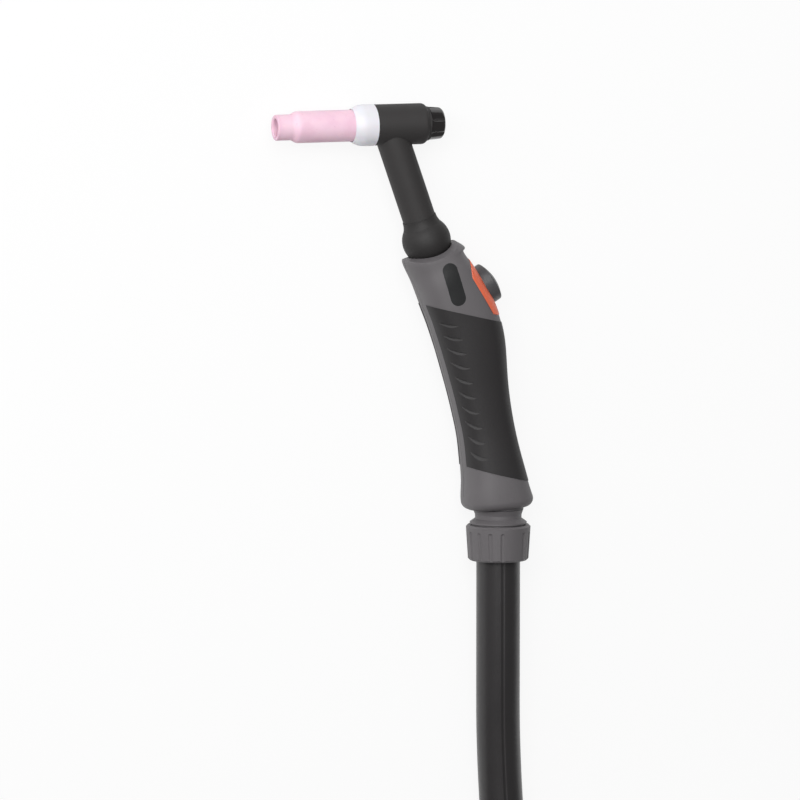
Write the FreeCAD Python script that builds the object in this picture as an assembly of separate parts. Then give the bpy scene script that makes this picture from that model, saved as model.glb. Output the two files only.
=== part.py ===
"""TIG welding torch with its covered cable, lying on its side.

Millimetres. The head axis is X with the nozzle towards -X, the handle runs towards -Y and +Z is up.
The origin is where the head axis crosses the neck axis, on the axis of the electrode's collet.
"""
import FreeCAD
import Part
import math
import os
from FreeCAD import Vector

ORIGIN = Vector(0, 0, 0)
X_AXIS = Vector(1, 0, 0)
Z_AXIS = Vector(0, 0, 1)

# General clearances
SLIP = 0.1            # between pieces of one body that are pushed together
FREE = 0.3            # between pieces that move past each other

# Head, along X
NOZZLE_LENGTH = 47.6
NOZZLE_MOUTH = -64.4
NOZZLE_TIP_R = 7.0
NOZZLE_TIP_LENGTH = 7.9
NOZZLE_SHOULDER = 4.9
NOZZLE_R = 8.65
NOZZLE_BORE_R = 4.75
NOZZLE_BORE_LENGTH = 15.0
NOZZLE_THREAD_R = 6.3
INSULATOR_LENGTH = 12.5
INSULATOR_ROUND = 7.0
INSULATOR_R = 11.3
INSULATOR_LIP_R = 9.15
INSULATOR_COLLAR_R = 7.6
INSULATOR_COLLAR_LENGTH = 2.4
HEAD_FRONT = -8.5
HEAD_REAR = 22.5
HEAD_R = 11.15
HEAD_LIP_R = 9.3
HEAD_LIP_LENGTH = 1.2
HEAD_ROUND = 2.7
CORE_R = 7.5
CORE_REAR = 17.2
COLLET_R = 1.95
COLLET_LENGTH = 48.0
COLLET_SLIT = 0.4
COLLET_SLIT_LENGTH = 18.0
ELECTRODE_BORE_R = 1.25
COLLET_NOSE = -44.0
BODY_NOSE_R = 3.6
BODY_TUBE_R = 4.7
BODY_THREAD_FRONT_R = 6.0
BODY_THREAD_REAR_R = 5.0
GAS_HOLE_R = 0.7
GAS_HOLES = 4
CAP_KNOB_LENGTH = 8.0
CAP_FRONT_R = 9.1
CAP_END_R = 8.6
CAP_ROUND = 2.0
CAP_STEM_R = 4.5
CAP_FLUTES = 6
CAP_FLUTE_R = 3.0
CAP_FLUTE_DEPTH = 0.7
CAP_END_WALL = 2.2
SEAL_WIRE_R = 0.9

# Neck, along its own axis from the origin
NECK_LEAN = 19.2      # degrees from straight down
NECK_R = 9.05
NECK_TUBE_R = 4.0
NECK_TUBE_BORE_R = 2.8
NECK_TUBE_END = 100.0
BALL_AT = 67.5
BALL_R = 13.3
BALL_FLARE = 3.2      # where the boot's lip starts above the ball
NECK_COVER_END = 74.0
BOOT_SHANK_R = 8.0
BOOT_END = 95.0
BOOT_GROOVE_R = 7.0
BOOT_GROOVE_AT = 84.0
BOOT_GROOVE_WIDTH = 3.0
ADAPTER_R = 6.0
ADAPTER_START = 97.0
ADAPTER_END = 113.0

# Handle
MOUTH_AT = 73.0       # along the neck axis
MOUTH_R = 13.9
MOUTH_CHAMFER = 2.0
MOUTH_CHAMFER_OUT = 2.5
MOUTH_SADDLE_R = 39.0
BEND_START_LEAN = 35.0
BEND_END_LEAN = 11.0
BEND_LENGTH = 60.0
HANDLE_BASE_Y = -211.5
BASE_TILT = 3.5
BASE_ROUND = 4.5
WALL = 2.6
BASE_WALL = 4.5
PAD_DEPTH = 1.3
PAD_PROUD = 0.3
PARTING_WIDTH = 0.4
PARTING_DEPTH = 0.35
PARTING_END = 1.5
# distance along the centre line, lean of the section, front, back, half width, squareness
EARLY_SECTIONS = [    # on the neck axis, measured from the mouth
    (-4.0, NECK_LEAN, 14.2, 12.6, 14.4, 2.0),
    (0.4, NECK_LEAN, 15.0, 15.2, 15.6, 2.1),
    (5.1, NECK_LEAN, 15.9, 18.1, 16.6, 2.3),
]
SECTIONS = [          # on the handle's centre line
    (12.5, 30.0, 17.6, 14.5, 17.3, 2.6),
    (20.0, 27.0, 18.2, 15.3, 17.7, 2.8),
    (27.0, 24.2, 18.7, 16.2, 17.8, 2.8),
    (34.0, 21.4, 18.8, 17.5, 17.8, 2.8),
    (40.0, 19.0, 18.8, 18.6, 17.7, 2.7),
    (47.0, 16.2, 18.8, 19.2, 17.7, 2.5),
    (55.0, 13.0, 18.4, 19.3, 17.6, 2.4),
    (66.0, 11.0, 17.4, 18.4, 17.2, 2.4),
    (77.0, 11.0, 16.4, 17.0, 16.6, 2.4),
    (89.0, 11.0, 15.6, 15.9, 16.2, 2.4),
    (102.0, 11.0, 15.1, 15.5, 16.0, 2.4),
    (113.0, 11.0, 15.5, 15.7, 16.3, 2.4),
    (124.0, 11.0, 16.5, 16.4, 17.0, 2.4),
    (135.0, 10.0, 18.2, 17.4, 17.7, 2.4),
    (144.0, 6.5, 19.8, 18.7, 18.0, 2.4),
    (152.0, BASE_TILT, 21.1, 19.8, 18.0, 2.4),
]
SECTION_POINTS = 16
BED_POINTS = 24

# Grip pads
PAD_TOP = (20.2, -98.7, 61.8, -108.6)
PAD_BOTTOM = (42.0, -187.4, 59.0, -192.0, 84.0, -197.6)
PAD_STRIP = 5.8       # half width of the bare strip along the handle's front
GROOVES = 10
GROOVE_FIRST = 39.6
GROOVE_PITCH = 8.5
GROOVE_FROM = 34.0    # degrees round the section from the front
GROOVE_TO = 68.0
GROOVE_SKEW = 2.2
GROOVE_SINK = 0.4     # depth of its upper wall where the groove starts and ends
GROOVE_STEP = 2.6     # from the upper wall to where the floor is back at the surface
GROOVE_RISE = 1.5
GROOVE_OPEN = 3.0
GROOVE_RUN_OUT = 0.6

# Badge
BADGE_AT = (32.2, -86.6)
BADGE_LENGTH = 24.2
BADGE_WIDTH = 8.5
BADGE_LEAN = 17.0

# Switch, along its own axis; 0 is the bezel's outer face
SWITCH_AT = (56.15, -88.6)
SWITCH_LEAN = 31.9
BEZEL_LENGTH = 35.0
BEZEL_WIDTH = 32.6
BEZEL_CORNER = 9.0
BEZEL_SHIFT = 1.2
BEZEL_REACH = 8.4     # how far its skin runs down the handle's sides
BEZEL_DEPTH = 7.7
COLLAR_R = 12.7
BUTTON_R = 11.15
BUTTON_RIM = 3.0
BUTTON_CROWN = 5.5
BUTTON_SKIRT = 3.4
BUTTON_WALL = 1.6
BUTTON_TRAVEL = 1.5
BUTTON_STEM_R = 3.0
BUTTON_FOOT_R = 4.2
BUTTON_FOOT = 1.2
FLOOR_AT = 5.2        # depth of the bezel's inner floor
FLOOR_THICK = 1.5
SWITCH_GAP = 0.2
SWITCH_SIZE = (12.8, 5.8, 5.8)   # along the handle, into it, across it
PLUNGER_R = 1.2
PLUNGER_BORE_DEPTH = 3.5
SPRING_R = 5.2
SPRING_WIRE_R = 0.3
SPRING_TURNS = 3

# Screws, on the hidden side
SCREW_AT = [(38.6, -71.8), (61.2, -156.0), (50.0, -197.0)]
SCREW_HEAD_Z = [-5.4, -9.6, -8.8]
BOSS_R = 4.2
SCREW_R = 1.4
SCREW_HEAD_R = 2.7
SCREW_HEAD = 2.0
SCREW_DEPTH = 8.0

# Cable end of the handle
CABLE_X = 63.8
SPIGOT_FLANGE_R = 14.0
SPIGOT_FLANGE = 4.0
SPIGOT_SHANK_R = 11.0
SPIGOT_BORE_R = 9.6
SPIGOT_CONE_R = 13.8
SPIGOT_CONE = 3.0
SPIGOT_NECK_R = 12.75
SPIGOT_LIP_R = 15.6
SPIGOT_LIP_Y = -219.4
SPIGOT_TAIL_R = 14.5
SPIGOT_TAIL_END = -232.0
RING_TOP = -221.0
RING_BOTTOM = -240.4
RING_TOP_R = 17.7
RING_END_R = 16.6
RING_WALL_GAP = 0.3
RING_MOUTH_R = 13.0
RING_CHAMFER = 1.0
RING_FLUTES = 16
RING_FLUTE_R = 1.6
RING_FLUTE_DEPTH = 0.55
RING_FLUTE_TOP = -225.5
SLEEVE_TOP = -232.6
SLEEVE_END = -238.2

# Covered cable
COVER_R = 12.0
COVER_SIDES = 12
COVER_START_Y = -221.5
COVER_ROUTE = [       # centre line from the ring to the coil
    (63.8, -221.5, 0.0),
    (63.8, -285.0, 0.0),
    (66.0, -352.0, -6.4),
    (72.5, -434.0, -6.4),
    (72.5, -501.5, -6.4),
]
COIL_CENTRE = (-69.5, -525.5)
COIL_R = 142.0
COIL_PITCH = 24.6
COIL_REVERSE = 2.25   # turns to the innermost point
COIL_END = 4.25       # turns in all
COIL_CLIMB = 0.5      # turns that the climb to the upper layer takes
CUFF_R = 13.0
CUFF_LENGTH = 10.0
CUFF_CAP = 4.0

# Leads beyond the cover, and their plugs
POWER_LEAD_R = 5.25
CONTROL_LEAD_R = 2.75
POWER_ROUTE = [
    (-97.7, -663.5, 18.2),
    (-121.5, -663.2, 18.6),
    (-144.5, -654.5, 22.5),
    (-163.5, -637.5, 28.0),
    (-176.5, -613.5, 33.0),
    (-183.0, -586.0, 35.5),
    (-186.5, -555.0, 35.5),
    (-186.5, -523.0, 35.5),
    (-181.0, -489.0, 35.5),
    (-164.5, -456.0, 35.5),
    (-136.0, -427.5, 36.0),
    (-99.0, -409.5, 39.0),
    (-66.0, -406.5, 43.4),
    (-38.0, -417.0, 44.0),
]
CONTROL_ROUTE = [
    (-97.7, -654.0, 18.2),
    (-113.0, -653.5, 18.8),
    (-129.5, -646.0, 22.0),
    (-143.5, -632.0, 27.6),
    (-154.0, -612.0, 32.8),
    (-160.5, -586.0, 33.2),
    (-163.5, -559.0, 33.2),
    (-164.0, -533.0, 33.2),
    (-161.0, -510.0, 34.8),
    (-152.5, -489.5, 38.7),
]
PLUG_R = 13.0
PLUG_LENGTH = 62.0
PLUG_BOOT_LENGTH = 16.0
PLUG_PIN_R = 6.5
PLUG_PIN_LENGTH = 30.0
PLUG_PIN_FLANGE = 1.6     # how far the flange that seats the pin stands out from it
PLUG_RECESS = 12.0        # depth of the plug's mouth round its pin
PLUG_KEYWAY_LENGTH = 10.0
PLUG_KEYWAY_WIDTH = 3.0
PLUG_KEYWAY_DEPTH = 1.3
CONTROL_PLUG_R = 8.5
CONTROL_PLUG_LENGTH = 40.0
CONTROL_RECESS = 9.0
CONTROL_PIN_R = 0.8
CONTROL_PINS = 5

# Leads inside the handle
INNER_CABLE_ROUTE = [
    (37.16, -106.72, 0.0),
    (41.7, -119.75, 0.0),
    (61.5, -196.0, 0.0),
    (63.8, -209.0, 0.0),
    (63.8, -221.5, 0.0),
]
WIRES_R = 1.3
WIRES_ROUTE = [
    (43.4, -101.9, 0.0),
    (45.6, -108.0, 0.0),
    (49.6, -117.0, -1.0),
    (53.2, -132.0, -4.6),
    (54.4, -147.0, -6.9),
    (55.2, -163.0, -6.9),
    (62.5, -177.0, -5.5),
    (69.8, -192.0, -1.0),
    (71.3, -206.0, 0.0),
    (71.3, -221.5, 0.0),
]


def arc_to(start, end):
    """An arc from start that arrives at end parallel to the axis, as (mid, end) numbers."""
    along, out = end[0] - start[0], end[1] - start[1]
    radius = (along * along + out * out) / (2 * abs(out))
    half = math.asin(min(1.0, abs(along) / radius)) / 2
    mid_along = end[0] - math.copysign(radius * math.sin(half), along)
    mid_out = end[1] - math.copysign(radius * (1 - math.cos(half)), out)
    return (mid_along, mid_out, end[0], end[1])


def arc_from(start, end):
    """An arc that leaves start parallel to the axis and arrives at end."""
    back = arc_to(end, start)
    return (back[0], back[1], end[0], end[1])


def wire_of(outline):
    """A closed wire in the XY plane through (along, radius) points; four numbers make an arc."""
    edges = []
    here = Vector(outline[0][0], outline[0][1], 0)
    for step in list(outline[1:]) + [outline[0][:2]]:
        there = Vector(step[-2], step[-1], 0)
        if there.distanceToPoint(here) < 1e-6:
            continue
        if len(step) == 4:
            edges.append(Part.Arc(here, Vector(step[0], step[1], 0), there).toShape())
        else:
            edges.append(Part.LineSegment(here, there).toShape())
        here = there
    return Part.Wire(edges)


def placed(shape, base=ORIGIN, turn=0.0):
    """The shape turned about Z, then moved from the origin to base."""
    moved = shape.copy()
    moved.rotate(ORIGIN, Z_AXIS, turn)
    moved.translate(base)
    return moved


def lathe(outline, base=ORIGIN, turn=0.0):
    """A solid of revolution about the direction that lies at turn degrees from +X."""
    solid = Part.Face(wire_of(outline)).revolve(ORIGIN, X_AXIS, 360)
    return placed(solid, base, turn)


def rod(radius, start, end, base=ORIGIN, turn=0.0):
    """A cylinder between two distances along an axis."""
    return placed(Part.makeCylinder(radius, end - start, Vector(start, 0, 0), X_AXIS), base, turn)


def block(low, high, base=ORIGIN, turn=0.0):
    """A box between two corners, turned about Z and moved to base."""
    size = Vector(*high).sub(Vector(*low))
    return placed(Part.makeBox(size.x, size.y, size.z, Vector(*low)), base, turn)


def prism(points, low, high):
    """A straight prism along Z over a polygon in XY."""
    corners = [Vector(x, y, low) for x, y in points]
    face = Part.Face(Part.makePolygon(corners + corners[:1]))
    return face.extrude(Vector(0, 0, high - low))


def mirrored(shape):
    """The same piece on the other side of the handle."""
    return shape.mirror(ORIGIN, Z_AXIS)


def lean_direction(lean):
    """The unit vector that points down the handle, leaning from -Y towards +X."""
    return Vector(math.sin(math.radians(lean)), -math.cos(math.radians(lean)), 0)


NECK_TURN = NECK_LEAN - 90
SWITCH_BASE = Vector(SWITCH_AT[0], SWITCH_AT[1], 0)
CABLE_TURN = -90.0


def neck_point(distance):
    return lean_direction(NECK_LEAN) * distance


def cable_lathe(outline):
    """Turned about the cable's axis, with the outline given as (y, radius)."""
    return lathe([tuple(-v if i in (0, len(s) - 2) else v for i, v in enumerate(s)) for s in outline],
                 Vector(CABLE_X, 0, 0), CABLE_TURN)


# ---------------------------------------------------------------- head

def nozzle():
    tip_end = NOZZLE_MOUTH + NOZZLE_TIP_LENGTH
    body_start = tip_end + NOZZLE_SHOULDER
    middle = ((tip_end + body_start) / 2, (NOZZLE_TIP_R + NOZZLE_R) / 2)
    rear = NOZZLE_MOUTH + NOZZLE_LENGTH
    bore_end = NOZZLE_MOUTH + NOZZLE_BORE_LENGTH
    edge = 0.5
    cone = 2.5
    tip = (NOZZLE_MOUTH + edge, NOZZLE_TIP_R)
    return lathe([
        (NOZZLE_MOUTH, NOZZLE_BORE_R + edge),
        (NOZZLE_MOUTH, NOZZLE_TIP_R - edge),
        arc_to((NOZZLE_MOUTH, NOZZLE_TIP_R - edge), tip),
        (tip_end, NOZZLE_TIP_R),
        arc_from((tip_end, NOZZLE_TIP_R), middle),
        arc_to(middle, (body_start, NOZZLE_R)),
        (rear, NOZZLE_R),
        (rear, NOZZLE_THREAD_R),
        (bore_end + cone, NOZZLE_THREAD_R),
        (bore_end, NOZZLE_BORE_R),
        (NOZZLE_MOUTH + edge, NOZZLE_BORE_R),
    ])


def nozzle_insulator():
    front = HEAD_FRONT - INSULATOR_LENGTH
    nozzle_seat = NOZZLE_MOUTH + NOZZLE_LENGTH + SLIP
    full = front + INSULATOR_ROUND
    return lathe([
        (front, NOZZLE_R + FREE),
        (front, INSULATOR_LIP_R),
        arc_to((front, INSULATOR_LIP_R), (full, INSULATOR_R)),
        (HEAD_FRONT, INSULATOR_R),
        (HEAD_FRONT, INSULATOR_COLLAR_R),
        (HEAD_FRONT + INSULATOR_COLLAR_LENGTH, INSULATOR_COLLAR_R),
        (HEAD_FRONT + INSULATOR_COLLAR_LENGTH, BODY_THREAD_FRONT_R + FREE),
        (nozzle_seat, BODY_THREAD_FRONT_R + FREE),
        (nozzle_seat, NOZZLE_R + FREE),
    ])


COLLET_BORE_R = COLLET_R + 0.1
BODY_STEP = -36.0       # where the collet body's nose meets its tube
BODY_THREAD_START = -25.5
BODY_SHOULDER = HEAD_FRONT + INSULATOR_COLLAR_LENGTH + SLIP
BODY_REAR = 4.5


def collet_body():
    shape = lathe([
        (COLLET_NOSE, ELECTRODE_BORE_R + 0.25),
        (COLLET_NOSE, BODY_NOSE_R - 1.2),
        (COLLET_NOSE + 2.4, BODY_NOSE_R),
        (BODY_STEP, BODY_NOSE_R),
        (BODY_STEP + 1.5, BODY_TUBE_R),
        (BODY_THREAD_START, BODY_TUBE_R),
        (BODY_THREAD_START, BODY_THREAD_FRONT_R),
        (BODY_SHOULDER, BODY_THREAD_FRONT_R),
        (BODY_SHOULDER, BODY_THREAD_REAR_R),
        (BODY_REAR, BODY_THREAD_REAR_R),
        (BODY_REAR, COLLET_BORE_R),
        (COLLET_NOSE + 3.5, COLLET_BORE_R),
        (COLLET_NOSE + 2.2, ELECTRODE_BORE_R + 0.25),
    ])
    hole_at = BODY_STEP + 5.0
    for k in range(GAS_HOLES):
        hole = Part.makeCylinder(GAS_HOLE_R, BODY_TUBE_R + 2, Vector(hole_at, 0, 0), Vector(0, 0, 1))
        hole.rotate(ORIGIN, X_AXIS, 45 + k * 360 / GAS_HOLES)
        shape = shape.cut(hole)
    return shape


def collet():
    front = COLLET_NOSE + 3.5 + SLIP
    shape = lathe([
        (front, ELECTRODE_BORE_R),
        (front, COLLET_R),
        (front + COLLET_LENGTH, COLLET_R),
        (front + COLLET_LENGTH, ELECTRODE_BORE_R),
    ])
    slit = block((front - 1, -COLLET_SLIT / 2, -COLLET_R - 1),
                 (front + COLLET_SLIT_LENGTH, COLLET_SLIT / 2, COLLET_R + 1))
    return shape.cut(slit)


def head_core():
    front = BODY_SHOULDER
    shape = lathe([
        (front, BODY_THREAD_REAR_R + SLIP),
        (front, CORE_R),
        (CORE_REAR, CORE_R),
        (CORE_REAR, CAP_STEM_R + FREE),
        (BODY_REAR + SLIP, CAP_STEM_R + FREE),
        (BODY_REAR + SLIP, BODY_THREAD_REAR_R + SLIP),
    ])
    return shape.cut(rod(NECK_TUBE_R, 0, CORE_R + 2, turn=NECK_TURN))


def neck_tube():
    start = CORE_R - 1.0
    tube = rod(NECK_TUBE_R, 0, NECK_TUBE_END, turn=NECK_TURN)
    tube = tube.cut(rod(NECK_TUBE_BORE_R, -1, NECK_TUBE_END + 1, turn=NECK_TURN))
    return tube.cut(rod(start, HEAD_FRONT * 2, HEAD_REAR * 2))


def head_cover():
    round_start = HEAD_REAR - HEAD_LIP_LENGTH - HEAD_ROUND
    lip_start = HEAD_REAR - HEAD_LIP_LENGTH
    collar_seat = HEAD_FRONT + INSULATOR_COLLAR_LENGTH
    barrel = lathe([
        (HEAD_FRONT, 0), (HEAD_FRONT, HEAD_R), (round_start, HEAD_R),
        arc_from((round_start, HEAD_R), (lip_start, HEAD_LIP_R)),
        (HEAD_REAR, HEAD_LIP_R), (HEAD_REAR, 0),
    ])
    shape = barrel.fuse(rod(NECK_R, 0, NECK_COVER_END, turn=NECK_TURN)).removeSplitter()
    inside = lathe([
        (HEAD_FRONT - 1, 0), (HEAD_FRONT - 1, INSULATOR_COLLAR_R + SLIP),
        (collar_seat, INSULATOR_COLLAR_R + SLIP), (collar_seat, CORE_R),
        (CORE_REAR, CORE_R), (CORE_REAR, CORE_R + FREE), (HEAD_REAR + 1, CORE_R + FREE),
        (HEAD_REAR + 1, 0),
    ])
    return shape.cut(inside).cut(rod(NECK_TUBE_R, 0, NECK_COVER_END + 1, turn=NECK_TURN))


CAP_SEAT = HEAD_REAR + FREE
CAP_INNER_END = BODY_REAR + 4.0
SEAL_AT = CORE_REAR + SEAL_WIRE_R + 0.6
SEAL_R = 6.2


def back_cap():
    end = CAP_SEAT + CAP_KNOB_LENGTH
    neck_r = SEAL_R - SEAL_WIRE_R
    shape = lathe([
        (CAP_INNER_END, ELECTRODE_BORE_R + 0.35),
        (CAP_INNER_END, CAP_STEM_R),
        (CORE_REAR + FREE, CAP_STEM_R),
        (CORE_REAR + FREE, neck_r),
        (CAP_SEAT, neck_r),
        (CAP_SEAT, CAP_FRONT_R),
        (end - CAP_ROUND, CAP_END_R),
        arc_from((end - CAP_ROUND, CAP_END_R), (end, CAP_END_R - CAP_ROUND)),
        (end, 0),
        (end - CAP_END_WALL, 0),
        (end - CAP_END_WALL, ELECTRODE_BORE_R + 0.35),
    ])
    for k in range(CAP_FLUTES):
        angle = math.radians(22.7 + k * 360 / CAP_FLUTES)
        out = CAP_END_R + CAP_FLUTE_R - CAP_FLUTE_DEPTH
        foot = Vector(CAP_SEAT + 1.4, out * math.sin(angle), out * math.cos(angle))
        flute = Part.makeCylinder(CAP_FLUTE_R, CAP_KNOB_LENGTH, foot, X_AXIS)
        ball = Part.makeSphere(CAP_FLUTE_R, foot)
        shape = shape.cut(flute.fuse(ball))
    return shape


def cap_seal():
    seal = Part.makeTorus(SEAL_R + 0.02, SEAL_WIRE_R, ORIGIN, X_AXIS)
    seal.translate(Vector(SEAL_AT, 0, 0))
    return seal


def neck_boot():
    flare_start = BALL_AT - math.sqrt(BALL_R ** 2 - NECK_R ** 2) - BALL_FLARE
    lip = NECK_R + 0.35
    join = BALL_AT - 8.2
    join_r = math.sqrt(BALL_R ** 2 - (BALL_AT - join) ** 2)
    under_r = BOOT_SHANK_R + 2.0
    under = BALL_AT + math.sqrt(BALL_R ** 2 - under_r ** 2)
    groove_end = BOOT_GROOVE_AT + BOOT_GROOVE_WIDTH
    return lathe([
        (flare_start, NECK_R),
        (flare_start, lip),
        arc_from((flare_start, lip), (join, join_r)),
        (BALL_AT, BALL_R, under, under_r),
        (under + 2.0, BOOT_SHANK_R),
        (BOOT_GROOVE_AT, BOOT_SHANK_R),
        (BOOT_GROOVE_AT, BOOT_GROOVE_R),
        (groove_end, BOOT_GROOVE_R),
        (groove_end, BOOT_SHANK_R),
        (BOOT_END, BOOT_SHANK_R),
        (BOOT_END, NECK_TUBE_R),
        (NECK_COVER_END, NECK_TUBE_R),
        (NECK_COVER_END, NECK_R),
    ], turn=NECK_TURN)


def gas_adapter():
    """The brass union that joins the neck tube to the power cable."""
    hexagon = Part.makePolygon([
        Vector(ADAPTER_START + 4, ADAPTER_R * math.cos(math.radians(a)), ADAPTER_R * math.sin(math.radians(a)))
        for a in range(30, 391, 60)])
    nut = Part.Face(hexagon).extrude(Vector(8, 0, 0))
    body = rod(ADAPTER_R - 1.2, ADAPTER_START, ADAPTER_END)
    shape = body.fuse(nut).cut(rod(NECK_TUBE_R, ADAPTER_START - 1, NECK_TUBE_END))
    shape = shape.cut(rod(NECK_TUBE_BORE_R, ADAPTER_START, ADAPTER_END + 1))
    return placed(shape, turn=NECK_TURN)


# ---------------------------------------------------------------- handle

def centre_line(distance):
    """The handle's centre at a distance below its mouth: a bend, then straight."""
    rate = (BEND_START_LEAN - BEND_END_LEAN) / BEND_LENGTH
    radius = math.degrees(1 / rate)
    bent = min(distance, BEND_LENGTH)
    start = math.radians(BEND_START_LEAN)
    here = math.radians(BEND_START_LEAN - rate * bent)
    point = neck_point(MOUTH_AT).add(Vector(
        radius * (math.cos(here) - math.cos(start)), -radius * (math.sin(start) - math.sin(here)), 0))
    return point.add(lean_direction(BEND_END_LEAN) * (distance - bent))


def section_point(centre, lean, front, back, half_width, squareness, angle, grow=0.0):
    """A point on one section; the angle runs from the front, over the top (+Z), to the back."""
    c, s = math.cos(math.radians(angle)), math.sin(math.radians(angle))
    power = 2.0 / squareness
    depth = (front if c > 0 else back) + grow
    across = -math.copysign(depth * abs(c) ** power, c)
    up = math.copysign((half_width + grow) * abs(s) ** power, s)
    out = Vector(math.cos(math.radians(lean)), math.sin(math.radians(lean)), 0)
    return centre.add(out * across).add(Z_AXIS * up)


def all_sections():
    early = [(neck_point(MOUTH_AT + row[0]),) + row[1:] for row in EARLY_SECTIONS]
    return early + [(centre_line(row[0]),) + row[1:] for row in SECTIONS]


def smooth_wire(section, grow):
    """A closed smooth curve round one section."""
    angles = [k * 360 / SECTION_POINTS for k in range(SECTION_POINTS)]
    curve = Part.BSplineCurve()
    points = [section_point(*section, a, grow) for a in angles]
    curve.interpolate(Points=points, PeriodicFlag=True, Parameters=[a / 360 for a in angles + [360]])
    return Part.Wire([curve.toShape()])


def smooth_body(grow):
    """The handle's outer form, swollen by grow."""
    wires = [smooth_wire(section, grow) for section in all_sections()]
    return Part.makeLoft(wires, True, False, False, 3)


def faceted_body(grow, sections):
    """The same form in flat facets, for the faces that lie inside."""
    wires = []
    for section in sections:
        points = [section_point(*section, k * 360 / BED_POINTS, grow) for k in range(BED_POINTS)]
        wires.append(Part.makePolygon(points + points[:1]))
    return Part.makeLoft(wires, True, True)


def parting_groove():
    """The shallow line along the handle where its two shells meet; it ends above the rounded base."""
    sides = []
    for angle in (0, 180):
        points = [section_point(*section, angle, -PARTING_DEPTH) for section in all_sections()]
        curve = Part.BSplineCurve()
        curve.interpolate(Points=points)
        sides.append(curve)
    front, back = sides
    edges = [front.toShape(), Part.LineSegment(front.EndPoint, back.EndPoint).toShape(), back.toShape(),
             Part.LineSegment(back.StartPoint, front.StartPoint).toShape()]
    inside = Part.Face(Part.Wire(Part.__sortEdges__(edges))).extrude(Vector(0, 0, PARTING_WIDTH))
    inside.translate(Vector(0, 0, -PARTING_WIDTH / 2))
    end = HANDLE_BASE_Y + BASE_ROUND + PARTING_END
    return block((-50, end, -PARTING_WIDTH / 2), (130, 0, PARTING_WIDTH / 2)).cut(inside)


def mouth_cutter():
    """What lies above the handle's saddle-shaped mouth."""
    above = block((MOUTH_AT - 40, -60, -40), (MOUTH_AT + 6, 60, 40))
    ridge = Part.makeCylinder(MOUTH_SADDLE_R, 120, Vector(MOUTH_AT + MOUTH_SADDLE_R, -60, 0), Vector(0, 1, 0))
    return placed(above.cut(ridge), turn=NECK_TURN)


def base_cutter():
    """What lies below the handle's base."""
    return block((-80, -60, -60), (80, 0, 60), Vector(CABLE_X, HANDLE_BASE_Y, 0), BASE_TILT)


def outer_body():
    body = smooth_body(0.0).cut(base_cutter())
    base_edges = [e for e in body.Edges
                  if all(abs((v.Point.y - HANDLE_BASE_Y) - math.tan(math.radians(BASE_TILT))
                             * (v.Point.x - CABLE_X)) < 0.01 for v in e.Vertexes)
                  and e.BoundBox.YLength < 8]
    body = body.makeFillet(BASE_ROUND, base_edges)
    chamfer = MOUTH_CHAMFER
    reach = 30.0
    slope = MOUTH_CHAMFER_OUT / chamfer
    cone = lathe([
        (MOUTH_AT - reach, 0), (MOUTH_AT - 6, 0), (MOUTH_AT - 6, MOUTH_R - 6 * slope + 2.0),
        (MOUTH_AT + reach, MOUTH_R + reach * slope + 2.0), (MOUTH_AT + reach, 80), (MOUTH_AT - reach, 80),
    ], turn=NECK_TURN)
    return body.cut(mouth_cutter()).cut(cone)


def switch_prism(low, high, grow=0.0):
    """The bezel's outline, a rectangle with round corners, extruded along the switch's axis."""
    half_length = BEZEL_LENGTH / 2 + grow
    half_width = BEZEL_WIDTH / 2 + grow
    solid = Part.makeBox(2 * half_length, 2 * half_width, high - low, Vector(-half_length, -half_width, 0))
    corners = [e for e in solid.Edges if e.BoundBox.ZLength > high - low - 0.01]
    solid = solid.makeFillet(BEZEL_CORNER + grow, corners)
    solid.translate(Vector(BEZEL_SHIFT, 0, low))
    solid.rotate(ORIGIN, Vector(0, 1, 0), 90)
    solid.rotate(ORIGIN, X_AXIS, 90)
    return placed(solid, SWITCH_BASE, SWITCH_LEAN)


def switch_rod(radius, low, high):
    return rod(radius, low, high, SWITCH_BASE, SWITCH_LEAN)


def cavity():
    """The hollow that both shells share."""
    inner = faceted_body(-WALL, all_sections())
    floor = block((-80, -60, -60), (80, BASE_WALL, 60), Vector(CABLE_X, HANDLE_BASE_Y, 0), BASE_TILT)
    pocket = Part.makeSphere(BALL_R + FREE, neck_point(BALL_AT))
    neck = rod(BOOT_SHANK_R + 2.6, BALL_AT, BOOT_END + 1, turn=NECK_TURN)
    top = placed(block((MOUTH_AT - 40, -60, -60), (MOUTH_AT + 5.5, 60, 60)), turn=NECK_TURN)
    return inner.cut(floor).cut(top).fuse(pocket).fuse(neck)


def inner_ribs(hollow):
    """The rib that holds the boot and the seats that hold the switch body."""
    rib_at = BOOT_GROOVE_AT + SLIP
    rib = rod(30, rib_at, rib_at + BOOT_GROOVE_WIDTH - 2 * SLIP, turn=NECK_TURN)
    rib = rib.cut(rod(BOOT_GROOVE_R + SLIP, rib_at - 1, rib_at + 10, turn=NECK_TURN))
    keep_clear = switch_rod(COLLAR_R + FREE, -BEZEL_DEPTH - 1, 20)
    length, depth, width = SWITCH_SIZE
    top = -switch_top()
    seat = block((top - depth + 1.0, -length / 2 + 2, -30), (top - 1.0, length / 2 - 2, 30), SWITCH_BASE, SWITCH_LEAN)
    seat = seat.cut(block((top - depth - 5, -length, -width / 2), (top + 5, length, width / 2),
                          SWITCH_BASE, SWITCH_LEAN))
    return rib.common(hollow).cut(keep_clear), seat.common(hollow)


def switch_top():
    """Depth of the switch body's top below the bezel's face."""
    return FLOOR_AT + FLOOR_THICK + FREE + BUTTON_FOOT + BUTTON_TRAVEL + SWITCH_GAP


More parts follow.
